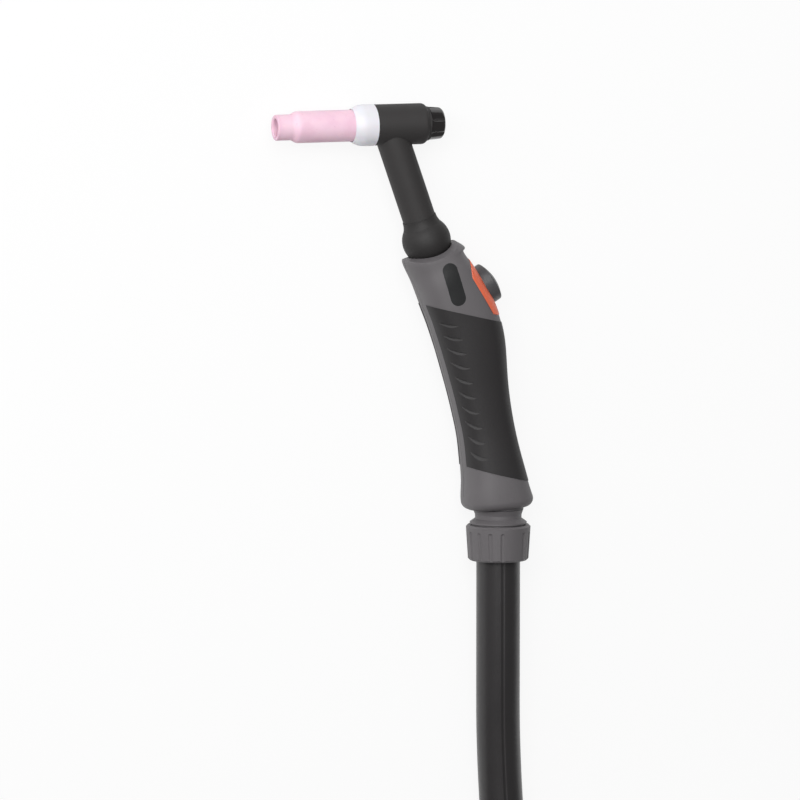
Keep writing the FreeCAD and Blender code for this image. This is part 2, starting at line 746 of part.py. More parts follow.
def pad_region():
    """The space above the mid-plane that a grip pad fills."""
    x0, y0, x1, y1 = PAD_TOP
    slope = (y1 - y0) / (x1 - x0)
    left, right = 0.0, 100.0
    fx, fy, mx, my, bx, by = PAD_BOTTOM
    top_left = Vector(left, y0 + slope * (left - x0), 0)
    top_right = Vector(right, y0 + slope * (right - x0), 0)
    front_slope = (my - fy) / (mx - fx)
    low_left = Vector(left, fy + front_slope * (left - fx), 0)
    low_right = Vector(right, by, 0)
    edges = [
        Part.LineSegment(top_left, top_right).toShape(),
        Part.LineSegment(top_right, low_right).toShape(),
        Part.LineSegment(low_right, Vector(bx, by, 0)).toShape(),
        Part.Arc(Vector(bx, by, 0), Vector(mx, my, 0), Vector(fx, fy, 0)).toShape(),
        Part.LineSegment(Vector(fx, fy, 0), low_left).toShape(),
        Part.LineSegment(low_left, top_left).toShape(),
    ]
    region = Part.Face(Part.Wire(edges)).extrude(Vector(0, 0, 40))
    centre = [centre_line(d) for d in (20.0, 60.0, 150.0)]
    strip = prism([(-40, centre[0].y), (centre[0].x, centre[0].y), (centre[1].x, centre[1].y),
                   (centre[2].x, centre[2].y), (-40, centre[2].y)], -1, PAD_STRIP)
    return region.cut(strip)


def groove_cutters():
    """Louvre-like wedges, each along a chord of the grip's surface."""
    cutters = []
    rows = SECTIONS
    for k in range(GROOVES):
        at = GROOVE_FIRST + k * GROOVE_PITCH
        ends = []
        for angle, shift in ((GROOVE_FROM, -GROOVE_SKEW), (GROOVE_TO, GROOVE_SKEW)):
            d = at + shift
            upper = max(r for r in rows if r[0] <= d)
            lower = min(r for r in rows if r[0] > d)
            share = (d - upper[0]) / (lower[0] - upper[0])
            mixed = [u + share * (w - u) for u, w in zip(upper[1:], lower[1:])]
            ends.append(section_point(centre_line(d), *mixed, angle, PAD_PROUD - GROOVE_SINK))
        chord = ends[1].sub(ends[0])
        chord.normalize()
        start = ends[0].sub(chord * GROOVE_RUN_OUT)
        down = lean_direction(BEND_END_LEAN)
        normal = chord.cross(down)
        normal.normalize()
        if normal.z < 0:
            normal = normal * -1
        down = normal.cross(chord)
        if down.y > 0:
            down = down * -1
        profile = [start, start.add(normal * GROOVE_OPEN),
                   start.add(normal * GROOVE_OPEN).add(down * GROOVE_STEP),
                   start.add(normal * GROOVE_RISE).add(down * GROOVE_STEP)]
        face = Part.Face(Part.makePolygon(profile + profile[:1]))
        cutters.append(face.extrude(chord * (ends[1].distanceToPoint(ends[0]) + 2 * GROOVE_RUN_OUT)))
    return Part.makeCompound(cutters)


def badge_region():
    """A stadium over the badge's place, as a prism upwards."""
    half = (BADGE_LENGTH - BADGE_WIDTH) / 2
    r = BADGE_WIDTH / 2
    edges = [
        Part.LineSegment(Vector(-half, -r, 0), Vector(half, -r, 0)).toShape(),
        Part.Arc(Vector(half, -r, 0), Vector(half + r, 0, 0), Vector(half, r, 0)).toShape(),
        Part.LineSegment(Vector(half, r, 0), Vector(-half, r, 0)).toShape(),
        Part.Arc(Vector(-half, r, 0), Vector(-half - r, 0, 0), Vector(-half, -r, 0)).toShape(),
    ]
    solid = Part.Face(Part.Wire(edges)).extrude(Vector(0, 0, 40))
    return placed(solid, Vector(BADGE_AT[0], BADGE_AT[1], 0), BADGE_LEAN - 90)


def handle_pieces():
    """Both shells, both grip pads, the badge plate and the bezel."""
    outer = outer_body()
    bed = faceted_body(-PAD_DEPTH, all_sections())
    hollow = cavity()
    rib, seats = inner_ribs(hollow)
    below = block((-50, -260, -60), (130, 0, 0))

    pad_outer = smooth_body(PAD_PROUD)
    region = pad_region()
    pad = pad_outer.common(region).cut(bed)
    recess = region.cut(bed)
    pad_cut = pad.cut(groove_cutters())
    badge_space = badge_region().cut(bed)
    badge = outer.common(badge_region()).cut(bed)

    beyond = BEZEL_WIDTH / 2
    pocket = switch_prism(-BEZEL_REACH - SLIP / 2, beyond, grow=SLIP / 2).cut(bed)
    seated = outer.cut(pocket).cut(switch_rod(COLLAR_R, -BEZEL_DEPTH - 6, beyond))
    skin = pad_outer.common(switch_prism(-BEZEL_REACH, beyond)).cut(bed)
    collar = pad_outer.common(switch_rod(COLLAR_R, -FLOOR_AT - FLOOR_THICK, beyond))
    bezel = skin.fuse(collar).cut(switch_rod(BUTTON_R + FREE, -FLOOR_AT, beyond))
    bezel = bezel.cut(switch_rod(BUTTON_STEM_R + FREE, -BEZEL_DEPTH - 1, 0))

    spigot_hole = rod(SPIGOT_SHANK_R + SLIP, 0, 40, Vector(CABLE_X, HANDLE_BASE_Y + 20, 0), CABLE_TURN)
    mouth_hole = rod(MOUTH_R - 1.5, MOUTH_AT - 10, MOUTH_AT + 6, turn=NECK_TURN)
    shell = seated.cut(hollow)
    groove = parting_groove()

    half = shell.common(below).cut(mirrored(recess)).cut(spigot_hole).cut(mouth_hole)
    half = half.fuse(rib.common(below)).fuse(seats.common(below))
    for x, y in SCREW_AT:
        half = half.fuse(Part.makeCylinder(BOSS_R, 40, Vector(x, y, 0), Z_AXIS * -1).common(bed))
    half = half.cut(groove.common(below))
    upper_shell = mirrored(half).cut(badge_space)
    lower_shell = half
    for (x, y), head_z in zip(SCREW_AT, SCREW_HEAD_Z):
        upper_shell = upper_shell.cut(
            Part.makeCylinder(SCREW_R + SLIP / 2, SCREW_DEPTH + 1, Vector(x, y, -1), Z_AXIS))
        lower_shell = lower_shell.cut(Part.makeCylinder(SCREW_R + FREE, 40, Vector(x, y, 0), Z_AXIS * -1))
        lower_shell = lower_shell.cut(
            Part.makeCylinder(SCREW_HEAD_R + FREE, 40, Vector(x, y, head_z), Z_AXIS * -1))

    lower_pad = mirrored(pad_cut)
    for (x, y), head_z in zip(SCREW_AT, SCREW_HEAD_Z):
        lower_pad = lower_pad.cut(
            Part.makeCylinder(SCREW_HEAD_R + FREE, 40, Vector(x, y, head_z), Z_AXIS * -1))
    return {
        "handle_shell_upper": upper_shell,
        "handle_shell_lower": lower_shell,
        "grip_pad_upper": pad_cut,
        "grip_pad_lower": lower_pad,
        "badge_plate": badge,
        "switch_bezel": bezel,
    }


def handle_screws():
    screws = []
    for (x, y), head_z in zip(SCREW_AT, SCREW_HEAD_Z):
        shank = Part.makeCylinder(SCREW_R, SCREW_DEPTH - head_z - 1, Vector(x, y, head_z), Z_AXIS)
        head = Part.makeCylinder(SCREW_HEAD_R, SCREW_HEAD, Vector(x, y, head_z), Z_AXIS * -1)
        slot_low = Vector(x - SCREW_HEAD_R, y - 0.35, head_z - SCREW_HEAD - 0.1)
        slots = Part.makeBox(2 * SCREW_HEAD_R, 0.7, 1.1, slot_low)
        cross = slots.copy()
        cross.rotate(Vector(x, y, 0), Z_AXIS, 90)
        waist = Part.makeCylinder(SCREW_HEAD_R * 0.7, 3, Vector(x, y, head_z - SCREW_HEAD - 0.5), Z_AXIS)
        screws.append(shank.fuse(head).cut(slots.fuse(cross).common(waist)))
    return Part.makeCompound(screws)


# ---------------------------------------------------------------- switch

def trigger_button():
    crown = BUTTON_CROWN - BUTTON_RIM
    under = BUTTON_RIM - BUTTON_WALL
    edge = 0.8
    foot_top = FLOOR_AT + FLOOR_THICK + FREE
    outline = [
        (-BUTTON_SKIRT, BUTTON_R - BUTTON_WALL),
        (-BUTTON_SKIRT, BUTTON_R),
        (BUTTON_RIM - edge, BUTTON_R),
        arc_from((BUTTON_RIM - edge, BUTTON_R), (BUTTON_RIM, BUTTON_R - edge)),
    ]
    rim_r = BUTTON_R - edge
    bow = (rim_r ** 2 + crown ** 2) / (2 * crown)
    half = rim_r / 2
    outline += [
        (BUTTON_CROWN - (bow - math.sqrt(bow ** 2 - half ** 2)), half, BUTTON_CROWN, 0),
        (-foot_top - BUTTON_FOOT, 0),
        (-foot_top - BUTTON_FOOT, BUTTON_FOOT_R),
        (-foot_top, BUTTON_FOOT_R),
        (-foot_top, BUTTON_STEM_R),
        (under, BUTTON_STEM_R),
        (under, BUTTON_R - BUTTON_WALL),
    ]
    return lathe(outline, SWITCH_BASE, SWITCH_LEAN)


def switch_body():
    length, depth, width = SWITCH_SIZE
    top = -switch_top()
    body = block((top - depth, -length / 2, -width / 2), (top, length / 2, width / 2))
    body = body.cut(rod(PLUNGER_R + 0.2, top - PLUNGER_BORE_DEPTH, top + 1))
    for along in (-1, 1):
        hole = Part.makeCylinder(1.0, width + 2, Vector(top - depth + 2, along * 4.0, -width / 2 - 1), Z_AXIS)
        body = body.cut(hole)
    for k in (-1, 0, 1):
        tag = block((top - depth - 2.2, k * 4.4 - 0.8, -0.25), (top - depth, k * 4.4 + 0.8, 0.25))
        body = body.fuse(tag)
    return placed(body, SWITCH_BASE, SWITCH_LEAN)


def switch_plunger():
    foot_bottom = FLOOR_AT + FLOOR_THICK + FREE + BUTTON_FOOT
    end = switch_top() + PLUNGER_BORE_DEPTH - BUTTON_TRAVEL - FREE
    return switch_rod(PLUNGER_R, -end, -foot_bottom)


def button_spring():
    """Carried under the button's crown; its free foot clears the bezel's floor by the travel."""
    top = BUTTON_RIM - BUTTON_WALL - SPRING_WIRE_R
    low = -FLOOR_AT + BUTTON_TRAVEL + FREE + SPRING_WIRE_R
    pitch = (top - low) / SPRING_TURNS
    helix = Part.makeHelix(pitch, top - low, SPRING_R)
    ring = [Vector(SPRING_R + SPRING_WIRE_R * math.cos(math.radians(a)), 0,
                   SPRING_WIRE_R * math.sin(math.radians(a))) for a in range(0, 361, 60)]
    spring = Part.Wire(helix.Edges).makePipeShell([Part.makePolygon(ring)], True, True)
    spring.translate(Vector(0, 0, low))
    spring.rotate(ORIGIN, Vector(0, 1, 0), 90)
    return placed(spring, SWITCH_BASE, SWITCH_LEAN)


# ---------------------------------------------------------------- cable end

def cable_spigot():
    base = HANDLE_BASE_Y
    tilt = math.tan(math.radians(BASE_TILT))
    flange_at = base + BASE_WALL + SPIGOT_FLANGE_R * tilt + FREE
    neck_start = base - SPIGOT_CONE
    drop = SPIGOT_CONE_R * tilt + SLIP
    lip_start = SPIGOT_LIP_Y + 2.0
    shape = cable_lathe([
        (flange_at + SPIGOT_FLANGE, SPIGOT_BORE_R),
        (flange_at + SPIGOT_FLANGE, SPIGOT_FLANGE_R),
        (flange_at, SPIGOT_FLANGE_R),
        (flange_at, SPIGOT_SHANK_R),
        (base - drop, SPIGOT_SHANK_R),
        (base - drop, SPIGOT_CONE_R),
        (neck_start - drop, SPIGOT_NECK_R),
        (lip_start, SPIGOT_NECK_R),
        (SPIGOT_LIP_Y, SPIGOT_LIP_R),
        (SPIGOT_LIP_Y - 0.8, SPIGOT_LIP_R),
        (SPIGOT_LIP_Y - 0.8, SPIGOT_TAIL_R),
        (SPIGOT_TAIL_END, SPIGOT_TAIL_R),
        (SPIGOT_TAIL_END, COVER_R + FREE),
        (COVER_START_Y + SLIP, COVER_R + FREE),
        (COVER_START_Y + SLIP, SPIGOT_BORE_R),
    ])
    return shape.fuse(spigot_shoulder())


def spigot_shoulder():
    """A thin tilted washer that closes the spigot's shoulder against the tilted base."""
    washer = rod(SPIGOT_CONE_R, -4, 0.7, Vector(CABLE_X, HANDLE_BASE_Y, 0), CABLE_TURN)
    washer = washer.cut(rod(SPIGOT_SHANK_R - 0.5, -5, 1, Vector(CABLE_X, HANDLE_BASE_Y, 0), CABLE_TURN))
    return washer.common(base_cutter())


def clamp_ring():
    inner = SPIGOT_TAIL_R + RING_WALL_GAP
    mouth = RING_MOUTH_R
    chamfer = RING_CHAMFER
    shape = cable_lathe([
        (RING_TOP, inner), (RING_TOP, RING_TOP_R - chamfer), (RING_TOP - chamfer, RING_TOP_R),
        (RING_BOTTOM + chamfer, RING_END_R), (RING_BOTTOM, RING_END_R - chamfer), (RING_BOTTOM, mouth),
        (SLEEVE_END - FREE, mouth), (SLEEVE_TOP + FREE, inner),
    ])
    length = RING_FLUTE_TOP - RING_BOTTOM + 4
    taper = math.degrees(math.atan((RING_TOP_R - RING_END_R) / (RING_TOP - RING_BOTTOM)))
    for k in range(RING_FLUTES):
        top = Part.makeSphere(RING_FLUTE_R, ORIGIN)
        flute = Part.makeCylinder(RING_FLUTE_R, length, ORIGIN, Vector(0, -1, 0)).fuse(top)
        flute.rotate(ORIGIN, Z_AXIS, -taper)
        share = (RING_TOP - RING_FLUTE_TOP) / (RING_TOP - RING_BOTTOM)
        radius = RING_TOP_R - share * (RING_TOP_R - RING_END_R)
        flute.translate(Vector(radius + RING_FLUTE_R - RING_FLUTE_DEPTH, RING_FLUTE_TOP, 0))
        flute.rotate(ORIGIN, Vector(0, 1, 0), (k + 0.5) * 360 / RING_FLUTES)
        flute.translate(Vector(CABLE_X, 0, 0))
        shape = shape.cut(flute)
    return shape


def clamp_sleeve():
    """The split cone that the ring squeezes onto the cover."""
    inner = COVER_R + FREE
    shape = cable_lathe([
        (SLEEVE_TOP, inner), (SLEEVE_TOP, SPIGOT_TAIL_R - 0.3),
        (SLEEVE_END, RING_MOUTH_R - SLIP), (SLEEVE_END, inner),
    ])
    split = block((-20, SLEEVE_END - 1, -0.75), (0, SLEEVE_TOP + 1, 0.75), Vector(CABLE_X, 0, 0))
    return shape.cut(split)


# ---------------------------------------------------------------- cables

def tube_path(points):
    """Straight runs joined by tangent arcs, each as large as its two runs allow."""
    points = [Vector(*p) for p in points]
    edges, radii = [], []
    here = points[0]
    for before, corner, after in zip(points, points[1:], points[2:]):
        into, out = corner.sub(before), after.sub(corner)
        reach = 0.45 * min(into.Length, out.Length)
        half = into.getAngle(out) / 2
        into.normalize()
        out.normalize()
        start, end = corner.sub(into * reach), corner.add(out * reach)
        chord_mid = (start + end) * 0.5
        arc_mid = chord_mid.add(corner.sub(chord_mid) * (math.cos(half) / (1 + math.cos(half))))
        edges.append(Part.LineSegment(here, start).toShape())
        edges.append(Part.Arc(start, arc_mid, end).toShape())
        radii.append(reach / math.tan(half))
        here = end
    edges.append(Part.LineSegment(here, points[-1]).toShape())
    return Part.Wire(edges), min(radii)


def ring_about(centre, direction, radius, sides):
    """A regular polygon square to direction with a flat side down, or a circle where sides is 0."""
    direction = Vector(direction)
    direction.normalize()
    if not sides:
        return Part.Wire([Part.makeCircle(radius, centre, direction)])
    side = direction.cross(Z_AXIS)
    side.normalize()
    up = side.cross(direction)
    points = []
    for k in range(sides):
        a = (k + 0.5) * 2 * math.pi / sides
        points.append(centre.add(side * (radius * math.sin(a))).sub(up * (radius * math.cos(a))))
    return Part.makePolygon(points + points[:1])


def swept(path, radius, sides=0):
    first = path.Edges[0]
    start = first.valueAt(first.FirstParameter)
    direction = first.tangentAt(first.FirstParameter)
    solid = path.makePipeShell([ring_about(start, direction, radius, sides)], True, False)
    area = math.pi * radius ** 2 if not sides else sides / 2 * radius ** 2 * math.sin(2 * math.pi / sides)
    print("swept volume over section times length: %.4f" % (solid.Volume / (area * path.Length)))
    return solid


def tube(name, points, radius, sides=0):
    path, least = tube_path(points)
    print("%s: %.0f mm long, least radius %.0f mm (%.1f diameters)"
          % (name, path.Length, least, least / (2 * radius)))
    return swept(path, radius, sides)


def coil_point(turns):
    """Centre, and direction along the coil, after a number of turns from its outer start."""
    inwards = turns <= COIL_REVERSE
    radius = COIL_R - COIL_PITCH * (turns if inwards else 2 * COIL_REVERSE - turns)
    drift = COIL_PITCH / (2 * math.pi) * (-1 if inwards else 1)
    if abs(turns - COIL_REVERSE) < 1e-6 or turns < 1e-6 or turns > COIL_END - 1e-6:
        drift = 0.0
    climb = min(max((turns - (COIL_REVERSE - COIL_CLIMB / 2)) / COIL_CLIMB, 0.0), 1.0)
    steep = COIL_PITCH / COIL_CLIMB / (2 * math.pi) * 2.0 if abs(climb - 0.5) < 1e-6 else 0.0
    angle = -turns * 2 * math.pi
    outward = Vector(math.cos(angle), math.sin(angle), 0)
    clockwise = Vector(math.sin(angle), -math.cos(angle), 0)
    level = COVER_ROUTE[-1][2]
    centre = Vector(COIL_CENTRE[0], COIL_CENTRE[1], level + COIL_PITCH * climb).add(outward * radius)
    direction = (clockwise * radius).add(outward * drift).add(Z_AXIS * steep)
    direction.normalize()
    return centre, direction


def biarc(p0, t0, p1, t1):
    """Two arcs that join p0 to p1 and keep both directions."""
    v = p1.sub(p0)
    t = t0.add(t1)
    a = 2 * (1 - t0.dot(t1))
    b = 2 * v.dot(t)
    d = (-b + math.sqrt(b * b + 4 * a * v.dot(v))) / (2 * a)
    q0, q1 = p0.add(t0 * d), p1.sub(t1 * d)
    joint = (q0 + q1) * 0.5
    arcs = []
    for start, corner, end in ((p0, q0, joint), (joint, q1, p1)):
        half = corner.sub(start).getAngle(end.sub(corner)) / 2
        chord_mid = (start + end) * 0.5
        mid = chord_mid.add(corner.sub(chord_mid) * (math.cos(half) / (1 + math.cos(half))))
        arcs.append(Part.Arc(start, mid, end).toShape())
    return arcs


def coil_path():
    """A straight lead-in, two turns in, a climb, two turns out and a straight end."""
    edges = [Part.LineSegment(Vector(*COVER_ROUTE[-1]), coil_point(0)[0]).toShape()]
    steps = int(round(COIL_END * 4))
    for k in range(steps):
        edges += biarc(*coil_point(k / 4), *coil_point((k + 1) / 4))
    end, direction = coil_point(COIL_END)
    edges.append(Part.LineSegment(end, end.add(direction * 2 * COVER_R)).toShape())
    return Part.Wire(edges)


def coil_gap(path):
    """The least gap between the coil's own turns, measured on points of its centre line."""
    points = path.discretize(Number=900)
    step = path.Length / 899
    apart = int(6 * COVER_R / step)
    least = min(points[i].distanceToPoint(points[j])
                for i in range(len(points)) for j in range(i + apart, len(points)))
    return least - 2 * COVER_R


def cable_coil():
    path = coil_path()
    print("cable_coil: %.0f mm long, least gap to itself %.2f mm" % (path.Length, coil_gap(path)))
    return swept(path, COVER_R, COVER_SIDES)


def end_frame(points):
    """The last point of a route and the heading of its last run, in degrees from +X."""
    last, before = Vector(*points[-1]), Vector(*points[-2])
    run = last.sub(before)
    return last, math.degrees(math.atan2(run.y, run.x))


COIL_TAIL, COIL_HEADING = coil_point(COIL_END)
CUFF_BASE = COIL_TAIL.add(COIL_HEADING * 2 * COVER_R)
CUFF_TURN = math.degrees(math.atan2(COIL_HEADING.y, COIL_HEADING.x))


def cover_cuff():
    """The moulded end of the cover, which both leads leave."""
    bore = COVER_R + SLIP
    outline = [
        (-CUFF_LENGTH, bore), (-CUFF_LENGTH, CUFF_R - 0.6), (-CUFF_LENGTH + 0.6, CUFF_R),
        (CUFF_CAP - 1.5, CUFF_R), (CUFF_CAP, CUFF_R - 1.5), (CUFF_CAP, 0), (SLIP, 0), (SLIP, bore),
    ]
    return lathe(outline, CUFF_BASE, CUFF_TURN)


def power_plug():
    """Rubber body and bend relief; the contact pin is its own piece."""
    base, turn = end_frame(POWER_ROUTE)
    boot = PLUG_BOOT_LENGTH
    end = boot + PLUG_LENGTH
    seat = end - PLUG_RECESS
    mouth_r = PLUG_PIN_R + PLUG_PIN_FLANGE + 2 * FREE
    return lathe([
        (SLIP, 0), (SLIP, POWER_LEAD_R + 1.2), (boot, POWER_LEAD_R + 3.0), (boot + 5, PLUG_R - 1.0),
        (boot + 9, PLUG_R), (end - 8, PLUG_R), (end - 7, PLUG_R - 1.5), (end, PLUG_R - 1.5),
        (end, mouth_r), (seat, mouth_r), (seat, 0),
    ], base, turn)


def power_plug_pin():
    base, turn = end_frame(POWER_ROUTE)
    start = PLUG_BOOT_LENGTH + PLUG_LENGTH - PLUG_RECESS
    flange_r = PLUG_PIN_R + PLUG_PIN_FLANGE
    end = start + PLUG_PIN_LENGTH
    shape = lathe([
        (start, 0), (start, flange_r), (start + 4, flange_r), (start + 4, PLUG_PIN_R),
        (end - 1.5, PLUG_PIN_R), (end, PLUG_PIN_R - 1.5), (end, 2.0), (start + 8, 2.0), (start + 8, 0),
    ])
    keyway = block((end - PLUG_KEYWAY_LENGTH, -PLUG_KEYWAY_WIDTH / 2, PLUG_PIN_R - PLUG_KEYWAY_DEPTH),
                   (end + 1, PLUG_KEYWAY_WIDTH / 2, PLUG_PIN_R + 1))
    return placed(shape.cut(keyway), base, turn)


def control_plug():
    base, turn = end_frame(CONTROL_ROUTE)
    end = CONTROL_PLUG_LENGTH
    r = CONTROL_PLUG_R
    return lathe([
        (SLIP, 0), (SLIP, CONTROL_LEAD_R + 0.8), (9, CONTROL_LEAD_R + 1.8), (11, r - 2), (13, r - 0.6),
        (end - 16, r - 0.6), (end - 15, r), (end - 1, r), (end, r - 1), (end, r - 1.8),
        (end - CONTROL_RECESS, r - 1.8), (end - CONTROL_RECESS, 0),
    ], base, turn)


def control_plug_pins():
    base, turn = end_frame(CONTROL_ROUTE)
    start = CONTROL_PLUG_LENGTH - CONTROL_RECESS
    shapes = [rod(CONTROL_PLUG_R - 2.1, start, start + 2.5)]
    for k in range(CONTROL_PINS):
        a = math.radians(90 + k * 300 / (CONTROL_PINS - 1))
        pin = rod(CONTROL_PIN_R, start + 1, start + 8)
        pin.translate(Vector(0, 4.0 * math.cos(a), 4.0 * math.sin(a)))
        shapes.append(pin)
    return placed(shapes[0].fuse(shapes[1:]), base, turn)


def build():
    pieces = {
        "nozzle": nozzle(),
        "nozzle_insulator": nozzle_insulator(),
        "collet_body": collet_body(),
        "collet": collet(),
        "head_core": head_core(),
        "neck_tube": neck_tube(),
        "head_cover": head_cover(),
        "back_cap": back_cap(),
        "cap_seal": cap_seal(),
        "neck_boot": neck_boot(),
        "gas_adapter": gas_adapter(),
        "handle_screws": handle_screws(),
        "trigger_button": trigger_button(),
        "switch_body": switch_body(),
        "switch_plunger": switch_plunger(),
        "button_spring": button_spring(),
        "cable_spigot": cable_spigot(),
        "clamp_ring": clamp_ring(),
        "clamp_sleeve": clamp_sleeve(),
        "inner_power_cable": tube("inner_power_cable", INNER_CABLE_ROUTE, POWER_LEAD_R),
        "switch_wires": tube("switch_wires", WIRES_ROUTE, WIRES_R, 6),
        "cable_run": tube("cable_run", COVER_ROUTE, COVER_R, COVER_SIDES),
        "cable_coil": cable_coil(),
        "cover_cuff": cover_cuff(),
        "power_lead": tube("power_lead", POWER_ROUTE, POWER_LEAD_R, 10),
        "control_lead": tube("control_lead", CONTROL_ROUTE, CONTROL_LEAD_R, 8),
        "power_plug": power_plug(),
        "power_plug_pin": power_plug_pin(),
        "control_plug": control_plug(),
        "control_plug_pins": control_plug_pins(),
    }
    pieces.update(handle_pieces())
    os.makedirs("parts", exist_ok=True)
    for name, shape in pieces.items():
        solids = shape.Solids
        valid = all(s.isValid() and s.Volume > 0 for s in solids)
        print("%-22s solids %d valid %s volume %.1f" % (name, len(solids), valid, shape.Volume))
        shape.exportStep("parts/%s.step" % name)


build()
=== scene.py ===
"""Finishes, cables and studio for a TIG welding torch that lies on its side.

The nozzle points to -X, the handle runs to -Y and +Z is up. The cords' routes are in mm, and everything
else is in metres.
"""
import math

import bpy
from bpy.props import FloatProperty, FloatVectorProperty, IntProperty, PointerProperty
from mathutils import Matrix, Vector


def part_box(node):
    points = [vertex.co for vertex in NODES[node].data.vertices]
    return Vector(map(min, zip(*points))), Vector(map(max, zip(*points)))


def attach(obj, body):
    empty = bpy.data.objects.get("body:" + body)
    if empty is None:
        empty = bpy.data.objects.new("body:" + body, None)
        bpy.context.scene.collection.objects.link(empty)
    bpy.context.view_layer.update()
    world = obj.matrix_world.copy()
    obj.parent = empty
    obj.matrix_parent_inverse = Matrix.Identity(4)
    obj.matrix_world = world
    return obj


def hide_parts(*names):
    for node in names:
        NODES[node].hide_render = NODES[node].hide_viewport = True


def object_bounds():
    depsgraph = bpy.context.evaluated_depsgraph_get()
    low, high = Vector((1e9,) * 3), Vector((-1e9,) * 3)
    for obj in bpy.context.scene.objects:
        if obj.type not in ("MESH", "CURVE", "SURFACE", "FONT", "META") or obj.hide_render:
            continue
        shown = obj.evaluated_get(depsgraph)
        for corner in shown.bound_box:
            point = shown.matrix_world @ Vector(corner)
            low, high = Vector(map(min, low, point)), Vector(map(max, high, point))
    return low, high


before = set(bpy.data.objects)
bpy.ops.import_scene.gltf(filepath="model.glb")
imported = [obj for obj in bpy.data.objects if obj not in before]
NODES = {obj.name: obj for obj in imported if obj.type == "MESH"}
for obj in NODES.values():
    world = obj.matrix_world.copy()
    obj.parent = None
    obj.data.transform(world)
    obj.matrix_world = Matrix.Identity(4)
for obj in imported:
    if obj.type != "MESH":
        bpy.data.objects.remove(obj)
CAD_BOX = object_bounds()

bl_info = {
    "name": "Welding torch studio",
    "version": (1, 0, 0),
    "blender": (4, 5, 0),
    "location": "View3D > Sidebar > Torch",
    "description": "Dresses a welding torch: moulded finishes, a covered cable and its plugs",
    "category": "Object",
}

MM = 0.001

# Centre line of the covered cable from the clamp ring to the coil, in mm
COVER_ROUTE = [
    (63.8, -221.5, 0.0),
    (63.8, -285.0, 0.0),
    (66.0, -352.0, -6.4),
    (72.5, -434.0, -6.4),
    (72.5, -501.5, -6.4),
]
# The coil that follows, in mm and in turns: inwards on the floor, then outwards on top of that
COIL_CENTRE = (-69.5, -525.5)
COIL_RADIUS = 142.0
COIL_PITCH = 24.6
COIL_REVERSE = 2.25
COIL_TURNS = 4.25
COIL_CLIMB = 0.5
COIL_STEPS = 24
COIL_END_RUN = 24.0
# Centre lines of the two leads, from the cover's end to their plugs, in mm
POWER_ROUTE = [
    (-97.7, -663.5, 18.2),
    (-121.5, -663.2, 18.6),
    (-144.5, -654.5, 22.5),
    (-163.5, -637.5, 28.0),
    (-176.5, -613.5, 33.0),
    (-183.0, -586.0, 35.5),
    (-186.5, -555.0, 35.5),
    (-186.5, -523.0, 35.5),
    (-181.0, -489.0, 35.5),
    (-164.5, -456.0, 35.5),
    (-136.0, -427.5, 36.0),
    (-99.0, -409.5, 39.0),
    (-66.0, -406.5, 43.4),
    (-38.0, -417.0, 44.0),
]
CONTROL_ROUTE = [
    (-97.7, -654.0, 18.2),
    (-113.0, -653.5, 18.8),
    (-129.5, -646.0, 22.0),
    (-143.5, -632.0, 27.6),
    (-154.0, -612.0, 32.8),
    (-160.5, -586.0, 33.2),
    (-163.5, -559.0, 33.2),
    (-164.0, -533.0, 33.2),
    (-161.0, -510.0, 34.8),
    (-152.5, -489.5, 38.7),
]


def linear(red, green, blue):
    """A colour given as screen values from 0 to 255, in the renderer's linear values."""
    def one(value):
        value = value / 255
        return value / 12.92 if value <= 0.04045 else ((value + 0.055) / 1.055) ** 2.4
    return (one(red), one(green), one(blue))


# ---------------------------------------------------------------- settings

def colour_setting(name, description, value):
    return FloatVectorProperty(name=name, description=description, subtype="COLOR", size=3,
                               min=0, max=1, default=value)


def length_setting(name, description, value):
    return FloatProperty(name=name, description=description, unit="LENGTH", min=1 * MM, default=value)


def angle_setting(name, description, degrees):
    return FloatProperty(name=name, description=description, subtype="ANGLE",
                         default=math.radians(degrees))


class TorchColours(bpy.types.PropertyGroup):
    ceramic: colour_setting("Cup", "Fired alumina of the gas cup", linear(238, 203, 219))
    ceramic_tint: colour_setting("Cup tint", "Deeper pink of its mouth and clouds", linear(226, 180, 203))
    insulator: colour_setting("Insulator", "White ring behind the cup", linear(229, 228, 234))
    rubber: colour_setting("Head rubber", "Moulded rubber of the head and neck", linear(47, 45, 45))
    phenolic: colour_setting("Back cap", "Glossy moulding of the back cap", linear(24, 21, 21))
    shell: colour_setting("Shell", "Grey moulding of handle, spigot and ring", linear(97, 94, 96))
    grip: colour_setting("Grip", "Soft black pads of the handle", linear(39, 37, 38))
    badge: colour_setting("Badge", "Black plate, and small black mouldings", linear(24, 25, 26))
    button: colour_setting("Button", "Dark moulding of the push button", linear(70, 70, 72))
    bezel: colour_setting("Switch bezel", "Orange surround of the button", linear(228, 106, 72))
    cover: colour_setting("Cable cover", "Black cloth that holds the leads", linear(43, 41, 42))
    lead: colour_setting("Leads", "Rubber of leads, power plug and cuff", linear(38, 37, 38))
    brass: colour_setting("Brass", "Head parts, gas union and plug pin", linear(205, 165, 92))
    copper: colour_setting("Copper", "Collet and neck tube", linear(201, 128, 95))
    steel: colour_setting("Steel", "Screws, spring and small pins", linear(176, 176, 180))


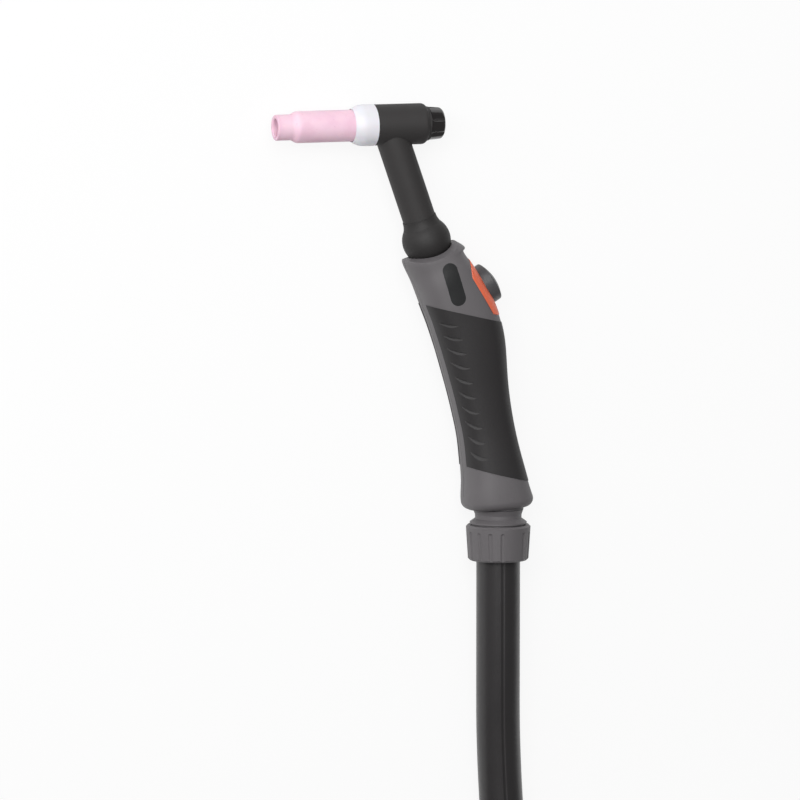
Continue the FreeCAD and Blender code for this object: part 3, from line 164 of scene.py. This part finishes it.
class TorchSizes(bpy.types.PropertyGroup):
    cover_diameter: length_setting("Cover diameter", "Outside of the covered cable", 24.0 * MM)
    cover_sides: IntProperty(name="Cover sides", description="Faces round the covered cable",
                             default=40, min=12)
    power_diameter: length_setting("Power lead diameter", "Lead for current and gas", 10.5 * MM)
    control_diameter: length_setting("Control lead diameter", "Lead of the handle's switch", 5.5 * MM)
    hem_angle: angle_setting("Hem angle", "Where the cover's overlap runs, from straight up", -7.5)
    view_turn: angle_setting("Camera turn", "Camera swung towards the nozzle", 19.0)
    view_rise: angle_setting("Camera rise", "Camera moved towards the head", 6.5)
    view_width: length_setting("View width", "Width of what the camera sees", 433.6 * MM)
    view_angle: angle_setting("Field of view", "Angle that the camera sees", 5.0)


def colour(name):
    """A colour of the settings, in the renderer's linear values."""
    return tuple(getattr(bpy.context.scene.torch_colours, name))


def sizes():
    return bpy.context.scene.torch_sizes


# ---------------------------------------------------------------- shader recipes

class Value:
    """A number in a material, so that shader maths reads as an expression."""

    def __init__(self, recipe, socket):
        self.recipe = recipe
        self.socket = socket

    def combine(self, operation, first, second=None):
        """A Math node's result; one that takes a single number has no second."""
        node = self.recipe.make("ShaderNodeMath", {"operation": operation}, [first, second])
        return Value(self.recipe, node.outputs[0])

    def __add__(self, other):
        return self.combine("ADD", self, other)

    def __radd__(self, other):
        return self.combine("ADD", other, self)

    def __sub__(self, other):
        return self.combine("SUBTRACT", self, other)

    def __rsub__(self, other):
        return self.combine("SUBTRACT", other, self)

    def __mul__(self, other):
        return self.combine("MULTIPLY", self, other)

    def __rmul__(self, other):
        return self.combine("MULTIPLY", other, self)

    def __truediv__(self, other):
        return self.combine("DIVIDE", self, other)

    def __abs__(self):
        return self.combine("ABSOLUTE", self)

    def ripple(self, pitch):
        """A sine wave along the number, between -1 and 1, with crests a pitch apart."""
        return self.combine("SINE", (self / pitch) * 2 * math.pi)

    def step(self, low, high):
        """0 below low, 1 above high, and a smooth rise between."""
        settings = {"interpolation_type": "SMOOTHSTEP"}
        node = self.recipe.make("ShaderNodeMapRange", settings, [self, low, high, 0.0, 1.0])
        return Value(self.recipe, node.outputs[0])

    def near(self, centre, inner, outer):
        """1 within inner of the centre, 0 beyond outer, and a smooth fall between."""
        return 1 - abs(self - centre).step(inner, outer)


class Recipe:
    """One procedural material with a Principled shader."""

    def __init__(self, name):
        self.material = bpy.data.materials.new(name)
        self.material.use_nodes = True
        self.tree = self.material.node_tree
        self.shader = self.tree.nodes["Principled BSDF"]
        self.place = self.make("ShaderNodeTexCoord").outputs["Object"]

    def make(self, kind, settings=None, inputs=()):
        """A node with its settings, and values or links for its sockets by place or by name."""
        node = self.tree.nodes.new(kind)
        for key, value in (settings or {}).items():
            setattr(node, key, value)
        pairs = inputs.items() if isinstance(inputs, dict) else enumerate(inputs)
        for key, value in pairs:
            self.plug(node.inputs[key], value)
        return node

    def plug(self, socket, value):
        """Links a socket to a value's node, or sets a plain number or colour on it."""
        if isinstance(value, Value):
            value = value.socket
        if isinstance(value, bpy.types.NodeSocket):
            self.tree.links.new(value, socket)
        elif value is not None:
            if socket.type == "RGBA" and len(value) == 3:
                value = (*value, 1.0)
            socket.default_value = value

    def noise(self, size, detail=2.0, roughness=0.5, place=None):
        """Cloudy values about 0.5, with spots of about this size in metres."""
        node = self.make("ShaderNodeTexNoise", None, {
            "Vector": place or self.place, "Scale": 1.0 / size,
            "Detail": detail, "Roughness": roughness})
        return Value(self, node.outputs["Fac"])

    def cells(self, size):
        """Distance to the nearest of scattered points, about this far apart in metres."""
        node = self.make("ShaderNodeTexVoronoi", None, {"Vector": self.place, "Scale": 1.0 / size})
        return Value(self, node.outputs["Distance"])

    def axes(self, place=None):
        """The three coordinates, each as a value."""
        node = self.make("ShaderNodeSeparateXYZ", None, [place or self.place])
        return [Value(self, socket) for socket in node.outputs]

    def stretched(self, scale):
        """The object's coordinates, stretched along each axis."""
        node = self.make("ShaderNodeMapping", None, {"Vector": self.place, "Scale": scale})
        return node.outputs[0]

    def blend(self, share, first, second):
        """The first colour where share is 0 and the second where it is 1."""
        node = self.make("ShaderNodeMix", {"data_type": "RGBA"})
        self.plug(node.inputs[0], share)
        self.plug(node.inputs[6], first)
        self.plug(node.inputs[7], second)
        return node.outputs[2]

    def bump(self, height, depth, strength):
        """Raises the surface by height times depth, in metres."""
        node = self.make("ShaderNodeBump", None, {
            "Strength": strength, "Distance": depth, "Height": height})
        self.plug(self.shader.inputs["Normal"], node.outputs[0])

    def finish(self, **sockets):
        """The material, after the shader's sockets are filled, named with _ for a space."""
        for name, value in sockets.items():
            self.plug(self.shader.inputs[name.replace("_", " ")], value)
        return self.material


def shade(paint, factor):
    """A darker colour by a factor below 1, or a paler one above it."""
    return tuple(part * factor for part in paint)


def fired_ceramic():
    """Pink alumina: cloudy, deeper pink at the mouth, with a few specks and a fine grain."""
    r = Recipe("fired_ceramic")
    cloud = r.noise(9 * MM, 3.0)
    grain = r.noise(0.5 * MM, 4.0, 0.7)
    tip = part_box("nozzle")[0].x
    x = r.axes()[0]
    mouth = 1 - x.step(tip + 0.2 * MM, tip + 2.9 * MM)
    speck = r.noise(1.7 * MM, 1.0).step(0.68, 0.74)
    tinted = cloud.step(0.35, 0.75) * 0.55 + mouth * 0.25
    body = r.blend(tinted, colour("ceramic"), colour("ceramic_tint"))
    body = r.blend(speck * 0.25, body, shade(colour("ceramic_tint"), 0.8))
    r.bump(grain, 0.05 * MM, 0.5)
    return r.finish(Base_Color=body, Roughness=0.42 + cloud * 0.18, Subsurface_Weight=0.08,
                    Subsurface_Scale=0.002)


def white_insulator():
    """Turned white plastic with faint tool marks round it."""
    r = Recipe("white_insulator")
    mark_pitch = 0.35 * MM
    x = r.axes()[0]
    cloud = r.noise(7 * MM, 2.0)
    turned = x.ripple(mark_pitch)
    body = r.blend(cloud * 0.5, colour("insulator"), shade(colour("insulator"), 0.86))
    r.bump(turned * 0.35 + r.noise(0.8 * MM), 0.02 * MM, 0.4)
    return r.finish(Base_Color=body, Roughness=0.34 + cloud * 0.12, Subsurface_Weight=0.12,
                    Subsurface_Scale=0.003)


def moulded_rubber(name, paint, grain_size=0.55 * MM, depth=0.05 * MM, rough=0.56):
    """Matt moulded rubber with a fine grain and a little dust."""
    r = Recipe(name)
    cloud = r.noise(14 * MM, 3.0)
    grain = r.noise(grain_size, 3.0, 0.65)
    dust = r.noise(3 * MM, 4.0, 0.7).step(0.55, 0.8)
    body = r.blend(cloud * 0.6, shade(paint, 1.06), shade(paint, 0.86))
    body = r.blend(dust * 0.12, body, shade(paint, 1.9))
    r.bump(grain, depth, 0.6)
    return r.finish(Base_Color=body, Roughness=rough + cloud * 0.12 + dust * 0.06,
                    Specular_IOR_Level=0.42)


def glossy_phenolic():
    """Hard glossy moulding with fine scuffs along its axis."""
    r = Recipe("glossy_phenolic")
    cloud = r.noise(6 * MM, 3.0)
    scuff = r.noise(1.2 * MM, 5.0, 0.75, r.stretched((0.25, 1.0, 1.0))).step(0.6, 0.8)
    body = r.blend(scuff * 0.2, colour("phenolic"), shade(colour("phenolic"), 2.2))
    r.bump(cloud, 0.04 * MM, 0.3)
    return r.finish(Base_Color=body, Roughness=0.16 + scuff * 0.25,
                    Coat_Weight=0.5, Coat_Roughness=0.12)


def moulded_plastic(name, paint, rough=0.46):
    """Nylon moulding with a spark-eroded texture and slightly paler rubbed patches."""
    r = Recipe(name)
    texture = 0.35 * MM
    cloud = r.noise(18 * MM, 3.0)
    spark = r.noise(texture, 3.0, 0.6)
    pits = r.cells(texture * 1.4)
    rubbed = r.noise(6 * MM, 4.0, 0.65).step(0.58, 0.78)
    body = r.blend(cloud * 0.5, shade(paint, 1.05), shade(paint, 0.92))
    body = r.blend(rubbed * 0.14, body, shade(paint, 1.35))
    r.bump(spark + pits * 0.35, 0.035 * MM, 0.55)
    return r.finish(Base_Color=body, Roughness=rough + spark * 0.1 - rubbed * 0.05,
                    Specular_IOR_Level=0.5)


def soft_grip():
    """Overmoulded grip: a fine leather-like grain with paler high spots."""
    r = Recipe("soft_grip")
    cloud = r.noise(16 * MM, 3.0)
    grain = r.cells(0.75 * MM)
    fine = r.noise(0.3 * MM, 3.0, 0.7)
    worn = r.noise(5 * MM, 4.0, 0.65).step(0.56, 0.8)
    body = r.blend(cloud * 0.5, shade(colour("grip"), 1.08), shade(colour("grip"), 0.88))
    body = r.blend(worn * 0.2, body, shade(colour("grip"), 1.7))
    r.bump(grain * 0.7 + fine * 0.5, 0.06 * MM, 0.55)
    return r.finish(Base_Color=body, Roughness=0.5 + cloud * 0.1 - worn * 0.06,
                    Specular_IOR_Level=0.45)


def badge_plate():
    """Lacquered black plate, brushed along the handle, with a little dust."""
    r = Recipe("badge_plate")
    brushed = r.noise(0.5 * MM, 2.0, 0.5, r.stretched((1.0, 0.12, 1.0)))
    dust = r.noise(2.5 * MM, 4.0, 0.7).step(0.6, 0.8)
    body = r.blend(dust * 0.18, colour("badge"), shade(colour("badge"), 2.4))
    r.bump(brushed, 0.02 * MM, 0.35)
    return r.finish(Base_Color=body, Roughness=0.3 + brushed * 0.14,
                    Coat_Weight=0.25, Coat_Roughness=0.25)


def woven_cover():
    """Black cloth on the cable: a plain weave on the piece's own map, with a sewn overlap that has a
    painted shadow along its edge and a painted highlight on its hem.
    """
    r = Recipe("woven_cover")
    thread_pitch = 1.15 * MM
    radius = sizes().cover_diameter / 2
    map_place = r.make("ShaderNodeUVMap", {"uv_map": "cloth"}).outputs[0]
    along, around = r.axes(map_place)[:2]
    weave = along.ripple(thread_pitch) * around.ripple(thread_pitch)
    hem = sizes().hem_angle * radius
    # A painted shadow along the overlap's edge, where the surface is also pressed in, and a painted
    # highlight on the hem just past it
    seam_and_shadow = around.near(hem, 0.25 * MM, 0.9 * MM)
    hem_highlight = around.near(hem + 1.0 * MM, 0.2 * MM, 0.55 * MM)
    flap_end = math.pi / 2 * radius
    past_flap = around.step(0.9 * flap_end, flap_end)
    flap = around.step(hem + 0.8 * MM, hem + 1.4 * MM) * (1 - past_flap)
    crease = r.noise(14 * MM, 4.0, 0.6)
    cloud = r.noise(30 * MM, 3.0)
    cloth = colour("cover")
    body = r.blend(cloud * 0.5, shade(cloth, 1.08), shade(cloth, 0.86))
    body = r.blend(weave.step(-0.6, 0.9) * 0.22, body, shade(cloth, 1.55))
    body = r.blend(flap * 0.55, body, shade(cloth, 0.62))
    # Painted shadow along the overlap's edge, then a painted highlight on its hem
    body = r.blend(seam_and_shadow * 0.85, body, shade(cloth, 0.45))
    body = r.blend(hem_highlight * 0.5, body, shade(cloth, 1.75))
    r.bump(weave * 0.12 + crease * 2.2 + flap * 1.2 - seam_and_shadow * 2.0, 0.14 * MM, 0.7)
    return r.finish(Base_Color=body, Roughness=0.3 + crease * 0.14, Specular_IOR_Level=0.5,
                    Sheen_Weight=0.1, Sheen_Roughness=0.4)


def rubber_lead():
    """Drawn rubber lead, cloudy and chalky from its talc."""
    r = Recipe("rubber_lead")
    cloud = r.noise(9 * MM, 4.0, 0.6)
    talc = r.noise(1.6 * MM, 4.0, 0.7).step(0.55, 0.8)
    body = r.blend(cloud * 0.5, shade(colour("lead"), 1.1), shade(colour("lead"), 0.85))
    body = r.blend(talc * 0.15, body, shade(colour("lead"), 2.2))
    r.bump(r.noise(0.7 * MM, 3.0), 0.04 * MM, 0.5)
    return r.finish(Base_Color=body, Roughness=0.48 + talc * 0.15)


def worked_metal(name, paint, rough=0.26):
    """Turned metal: fine tool marks, and a duller, darker film in patches."""
    r = Recipe(name)
    film = r.noise(4 * MM, 4.0, 0.6)
    marks = r.noise(0.25 * MM, 2.0, 0.5)
    body = r.blend(film.step(0.45, 0.75) * 0.45, paint, shade(paint, 0.62))
    r.bump(marks, 0.015 * MM, 0.4)
    return r.finish(Base_Color=body, Metallic=1.0, Roughness=rough + film * 0.16)


def pale_floor():
    """White to the eye and in reflections, and lit for the rest, so that it keeps the shadow."""
    white_share = 0.88
    r = Recipe("pale_floor")
    r.finish(Base_Color=(0.86, 0.86, 0.86), Roughness=0.9, Specular_IOR_Level=0.0)
    rays = r.make("ShaderNodeLightPath").outputs
    seen = Value(r, rays["Is Camera Ray"]) + Value(r, rays["Is Glossy Ray"])
    seen = seen + Value(r, rays["Is Transmission Ray"])
    glow = r.make("ShaderNodeEmission", None, {"Color": (1.0, 1.0, 1.0), "Strength": 1.0})
    lit = r.shader.outputs[0]
    mix = r.make("ShaderNodeMixShader", None, [seen * white_share, lit, glow.outputs[0]])
    r.plug(r.tree.nodes["Material Output"].inputs[0], mix.outputs[0])
    return r.material


# ---------------------------------------------------------------- cords and other helpers

def dress(material, *names):
    """Gives CAD nodes one material."""
    for name in names:
        mesh = NODES[name].data
        mesh.materials.clear()
        mesh.materials.append(material)


def cord_line(name, route):
    """The smooth open curve that a route in mm controls, as an object."""
    curve = bpy.data.curves.new(name, "CURVE")
    curve.dimensions = "3D"
    curve.resolution_u = 8
    spline = curve.splines.new("NURBS")
    spline.points.add(len(route) - 1)
    for control, point in zip(spline.points, route):
        control.co = (point[0] * MM, point[1] * MM, point[2] * MM, 1.0)
    spline.order_u = 3
    spline.use_endpoint_u = True
    line = bpy.data.objects.new(name, curve)
    bpy.context.scene.collection.objects.link(line)
    return line


def line_points(line):
    """Points along a curve's own line, in order."""
    mesh = bpy.data.meshes.new_from_object(line)
    points = [vertex.co.copy() for vertex in mesh.vertices]
    bpy.data.meshes.remove(mesh)
    return points


def distances(points):
    """How far along the line each of its points lies."""
    distance = [0.0]
    for before, after in zip(points, points[1:]):
        distance.append(distance[-1] + (after - before).length)
    return distance


def cover_route():
    """The cover's route with the coil's loops and its straight end, in mm."""
    points = list(COVER_ROUTE)
    # The spline cuts inside its control points, so they stand off and the turns get the stated radius
    stand_off = 2.0 / (1.0 + math.cos(math.pi / COIL_STEPS) ** 2)
    steps = int(COIL_TURNS * COIL_STEPS)
    level = COVER_ROUTE[-1][2]
    for k in range(1, steps + 1):
        turn = k / COIL_STEPS
        inwards = turn if turn <= COIL_REVERSE else 2 * COIL_REVERSE - turn
        radius = (COIL_RADIUS - COIL_PITCH * inwards) * (stand_off if k < steps else 1.0)
        climb = min(max((turn - COIL_REVERSE + COIL_CLIMB / 2) / COIL_CLIMB, 0.0), 1.0)
        angle = -2 * math.pi * turn
        points.append((COIL_CENTRE[0] + radius * math.cos(angle),
                       COIL_CENTRE[1] + radius * math.sin(angle),
                       level + COIL_PITCH * climb))
    last = points[-1]
    points.append((last[0] - COIL_END_RUN, last[1], last[2]))
    return points


def cloth_tube(name, points, radius, sides):
    """A closed tube along points, with a map of metres along it and metres round it from its top."""
    verts, faces = [], []
    count = len(points)
    for i, point in enumerate(points):
        ahead = points[min(i + 1, count - 1)] - points[max(i - 1, 0)]
        ahead.normalize()
        side = ahead.cross(Vector((0, 0, 1))).normalized()
        rise = side.cross(ahead)
        for k in range(sides):
            angle = 2 * math.pi * k / sides
            verts.append(point - side * (radius * math.sin(angle)) + rise * (radius * math.cos(angle)))
    for i in range(count - 1):
        for k in range(sides):
            j = (k + 1) % sides
            faces.append((i * sides + k, (i + 1) * sides + k, (i + 1) * sides + j, i * sides + j))
    ends = [tuple(range(sides)), tuple((count - 1) * sides + k for k in reversed(range(sides)))]
    mesh = bpy.data.meshes.new(name)
    mesh.from_pydata(verts, [], faces + ends)
    cloth = mesh.uv_layers.new(name="cloth")
    along = distances(points)
    for face, polygon in zip(faces, mesh.polygons):
        column = face[0] % sides
        for loop in polygon.loop_indices:
            i, k = divmod(mesh.loops[loop].vertex_index, sides)
            if k == 0 and column == sides - 1:
                k = sides
            if column >= sides // 2:
                k -= sides
            cloth.data[loop].uv = (along[i], k / sides * 2 * math.pi * radius)
    piece = bpy.data.objects.new(name, mesh)
    bpy.context.scene.collection.objects.link(piece)
    return piece


def smooth(piece):
    """Smooth shading everywhere but over the piece's sharp edges."""
    sharp_angle = math.radians(40)
    bpy.ops.object.select_all(action="DESELECT")
    bpy.context.view_layer.objects.active = piece
    piece.select_set(True)
    bpy.ops.object.shade_smooth_by_angle(angle=sharp_angle)
    bpy.ops.object.select_all(action="DESELECT")


# ---------------------------------------------------------------- stage and pieces

class TORCH_OT_stage(bpy.types.Operator):
    """Camera, pale floor and soft lamps"""
    bl_idname = "torch.stage"
    bl_label = "Stage"

    # Middle of the view, to the camera's right and up from the head's centre
    view_middle = (6.6 * MM, -149.3 * MM)
    floor_size = 12.0
    floor_middle_y = -0.3
    # How far the floor lies under the part's lowest point
    floor_gap = 0.05 * MM
    world_strength = 0.25
    # Each lamp's name, place, width and height, and watts
    lamp_rows = (
        ("front", (-0.4, 0.35, 1.25), (0.9, 0.9), 13.5),
        ("key", (-1.0, 0.3, 0.68), (0.3, 1.1), 4.5),
        ("top", (-0.1, 1.1, 0.9), (1.2, 0.5), 3.0),
    )
    lamps_face = (0.03, -0.12, 0.0)

    def execute(self, context):
        self.camera(context)
        self.floor()
        self.world(context)
        self.lamps(context)
        context.scene.view_settings.view_transform = "Standard"
        return {"FINISHED"}

    def camera(self, context):
        turn, rise = sizes().view_turn, sizes().view_rise
        out = Vector((-math.sin(turn) * math.cos(rise), math.sin(rise),
                      math.cos(turn) * math.cos(rise)))
        right = Vector((math.cos(turn), 0, math.sin(turn)))
        up = out.cross(right)
        middle = right * self.view_middle[0] + up * self.view_middle[1]
        away = sizes().view_width / 2 / math.tan(sizes().view_angle / 2)
        data = bpy.data.cameras.new("camera")
        data.angle = sizes().view_angle
        data.clip_start = 0.05
        data.clip_end = 20
        camera = bpy.data.objects.new("camera", data)
        context.scene.collection.objects.link(camera)
        camera.location = middle + out * away
        camera.rotation_mode = "QUATERNION"
        camera.rotation_quaternion = Matrix((right, up, out)).transposed().to_quaternion()
        context.scene.camera = camera

    def floor(self):
        place = (0, self.floor_middle_y, CAD_BOX[0][2] - self.floor_gap)
        bpy.ops.mesh.primitive_plane_add(size=self.floor_size, location=place)
        floor = bpy.context.active_object
        floor.name = "floor"
        bpy.ops.object.transform_apply(location=True)
        floor.data.materials.append(pale_floor())

    def world(self, context):
        world = bpy.data.worlds.new("studio")
        world.use_nodes = True
        background = world.node_tree.nodes["Background"]
        background.inputs["Color"].default_value = (1.0, 1.0, 1.0, 1.0)
        background.inputs["Strength"].default_value = self.world_strength
        context.scene.world = world

    def lamps(self, context):
        for name, place, size, power in self.lamp_rows:
            data = bpy.data.lights.new(name, "AREA")
            data.shape = "RECTANGLE"
            data.size, data.size_y = size
            data.energy = power
            lamp = bpy.data.objects.new(name, data)
            context.scene.collection.objects.link(lamp)
            beam = Vector(self.lamps_face) - Vector(place)
            lamp.location = place
            lamp.rotation_mode = "QUATERNION"
            lamp.rotation_quaternion = beam.to_track_quat("-Z", "Y")


class TORCH_OT_cables(bpy.types.Operator):
    """Covered cable with its put-away coil, and the two leads that leave it"""
    bl_idname = "torch.cables"
    bl_label = "Cables"

    def execute(self, context):
        self.cover()
        self.lead("power_cord", POWER_ROUTE, sizes().power_diameter, ["power_lead"],
                  [NODES["power_plug"], NODES["power_plug_pin"]])
        self.lead("control_cord", CONTROL_ROUTE, sizes().control_diameter, ["control_lead"],
                  [NODES["control_plug"], NODES["control_plug_pins"]])
        return {"FINISHED"}

    def cover(self):
        line = cord_line("cover_line", cover_route())
        points = line_points(line)
        bpy.data.objects.remove(line)
        diameter = sizes().cover_diameter
        piece = cloth_tube("cable_cover", points, diameter / 2, sizes().cover_sides)
        piece.data.materials.append(woven_cover())
        smooth(piece)
        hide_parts("cable_run", "cable_coil")
        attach(piece, "torch")

    def lead(self, name, route, diameter, replaced, on_it):
        line = cord_line(name, route)
        length = distances(line_points(line))[-1]
        line.data.bevel_depth = diameter / 2
        line.data.bevel_resolution = 6
        line.data.use_fill_caps = True
        line.data.materials.append(rubber_lead())
        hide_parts(*replaced)
        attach(line, "torch")


class TORCH_OT_head(bpy.types.Operator):
    """Finishes of the cup, insulator, head, neck and back cap"""
    bl_idname = "torch.head"
    bl_label = "Head"

    def execute(self, context):
        dress(fired_ceramic(), "nozzle")
        dress(white_insulator(), "nozzle_insulator")
        dress(moulded_rubber("head_rubber", colour("rubber")), "head_cover", "cap_seal")
        # Painted shade: the neck boot is the head's rubber made 30% darker, for the darker fall of light
        # there
        dress(moulded_rubber("boot_rubber", shade(colour("rubber"), 0.7)), "neck_boot")
        dress(glossy_phenolic(), "back_cap")
        dress(worked_metal("turned_brass", colour("brass")), "collet_body", "head_core", "gas_adapter",
              "power_plug_pin")
        dress(worked_metal("drawn_copper", colour("copper")), "collet", "neck_tube")
        return {"FINISHED"}


class TORCH_OT_handle(bpy.types.Operator):
    """Finishes of the handle, its switch and screws, and the cable clamp"""
    bl_idname = "torch.handle"
    bl_label = "Handle"

    def execute(self, context):
        dress(moulded_plastic("grey_moulding", colour("shell")), "handle_shell_upper",
              "handle_shell_lower", "cable_spigot", "clamp_ring")
        dress(soft_grip(), "grip_pad_upper", "grip_pad_lower")
        dress(badge_plate(), "badge_plate")
        dress(moulded_plastic("orange_moulding", colour("bezel"), 0.4), "switch_bezel")
        dress(moulded_plastic("button_moulding", colour("button"), 0.34), "trigger_button")
        dress(moulded_plastic("black_moulding", colour("badge"), 0.4), "clamp_sleeve", "switch_body",
              "switch_plunger")
        dress(worked_metal("screw_steel", colour("steel"), 0.3), "handle_screws", "button_spring",
              "control_plug_pins")
        return {"FINISHED"}


class TORCH_OT_plugs(bpy.types.Operator):
    """Finishes of the plugs, the cover's cuff and the cable and wires inside the handle"""
    bl_idname = "torch.plugs"
    bl_label = "Plugs"

    def execute(self, context):
        dress(moulded_rubber("plug_rubber", colour("lead"), 0.8 * MM, 0.06 * MM, 0.5), "power_plug",
              "cover_cuff")
        dress(moulded_plastic("plug_moulding", colour("badge"), 0.4), "control_plug")
        dress(rubber_lead(), "inner_power_cable", "switch_wires")
        return {"FINISHED"}


class TORCH_PT_studio(bpy.types.Panel):
    """Sizes, colours and steps of the torch"""
    bl_idname = "TORCH_PT_studio"
    bl_label = "Welding torch"
    bl_space_type = "VIEW_3D"
    bl_region_type = "UI"
    bl_category = "Torch"

    def draw(self, context):
        for operator in OPERATORS:
            self.layout.operator(operator.bl_idname)
        for group in (context.scene.torch_colours, context.scene.torch_sizes):
            box = self.layout.box()
            for name in group.__annotations__:
                box.prop(group, name)


GROUPS = (TorchColours, TorchSizes)
OPERATORS = (TORCH_OT_stage, TORCH_OT_cables, TORCH_OT_head, TORCH_OT_handle, TORCH_OT_plugs)
CLASSES = GROUPS + OPERATORS + (TORCH_PT_studio,)


def register():
    for cls in CLASSES:
        bpy.utils.register_class(cls)
    bpy.types.Scene.torch_colours = PointerProperty(type=TorchColours)
    bpy.types.Scene.torch_sizes = PointerProperty(type=TorchSizes)


def unregister():
    del bpy.types.Scene.torch_sizes
    del bpy.types.Scene.torch_colours
    for cls in reversed(CLASSES):
        bpy.utils.unregister_class(cls)


def main():
    register()
    bpy.ops.torch.stage()
    bpy.ops.torch.cables()
    bpy.ops.torch.head()
    bpy.ops.torch.handle()
    bpy.ops.torch.plugs()
    bpy.context.view_layer.update()


if __name__ == "__main__":
    main()
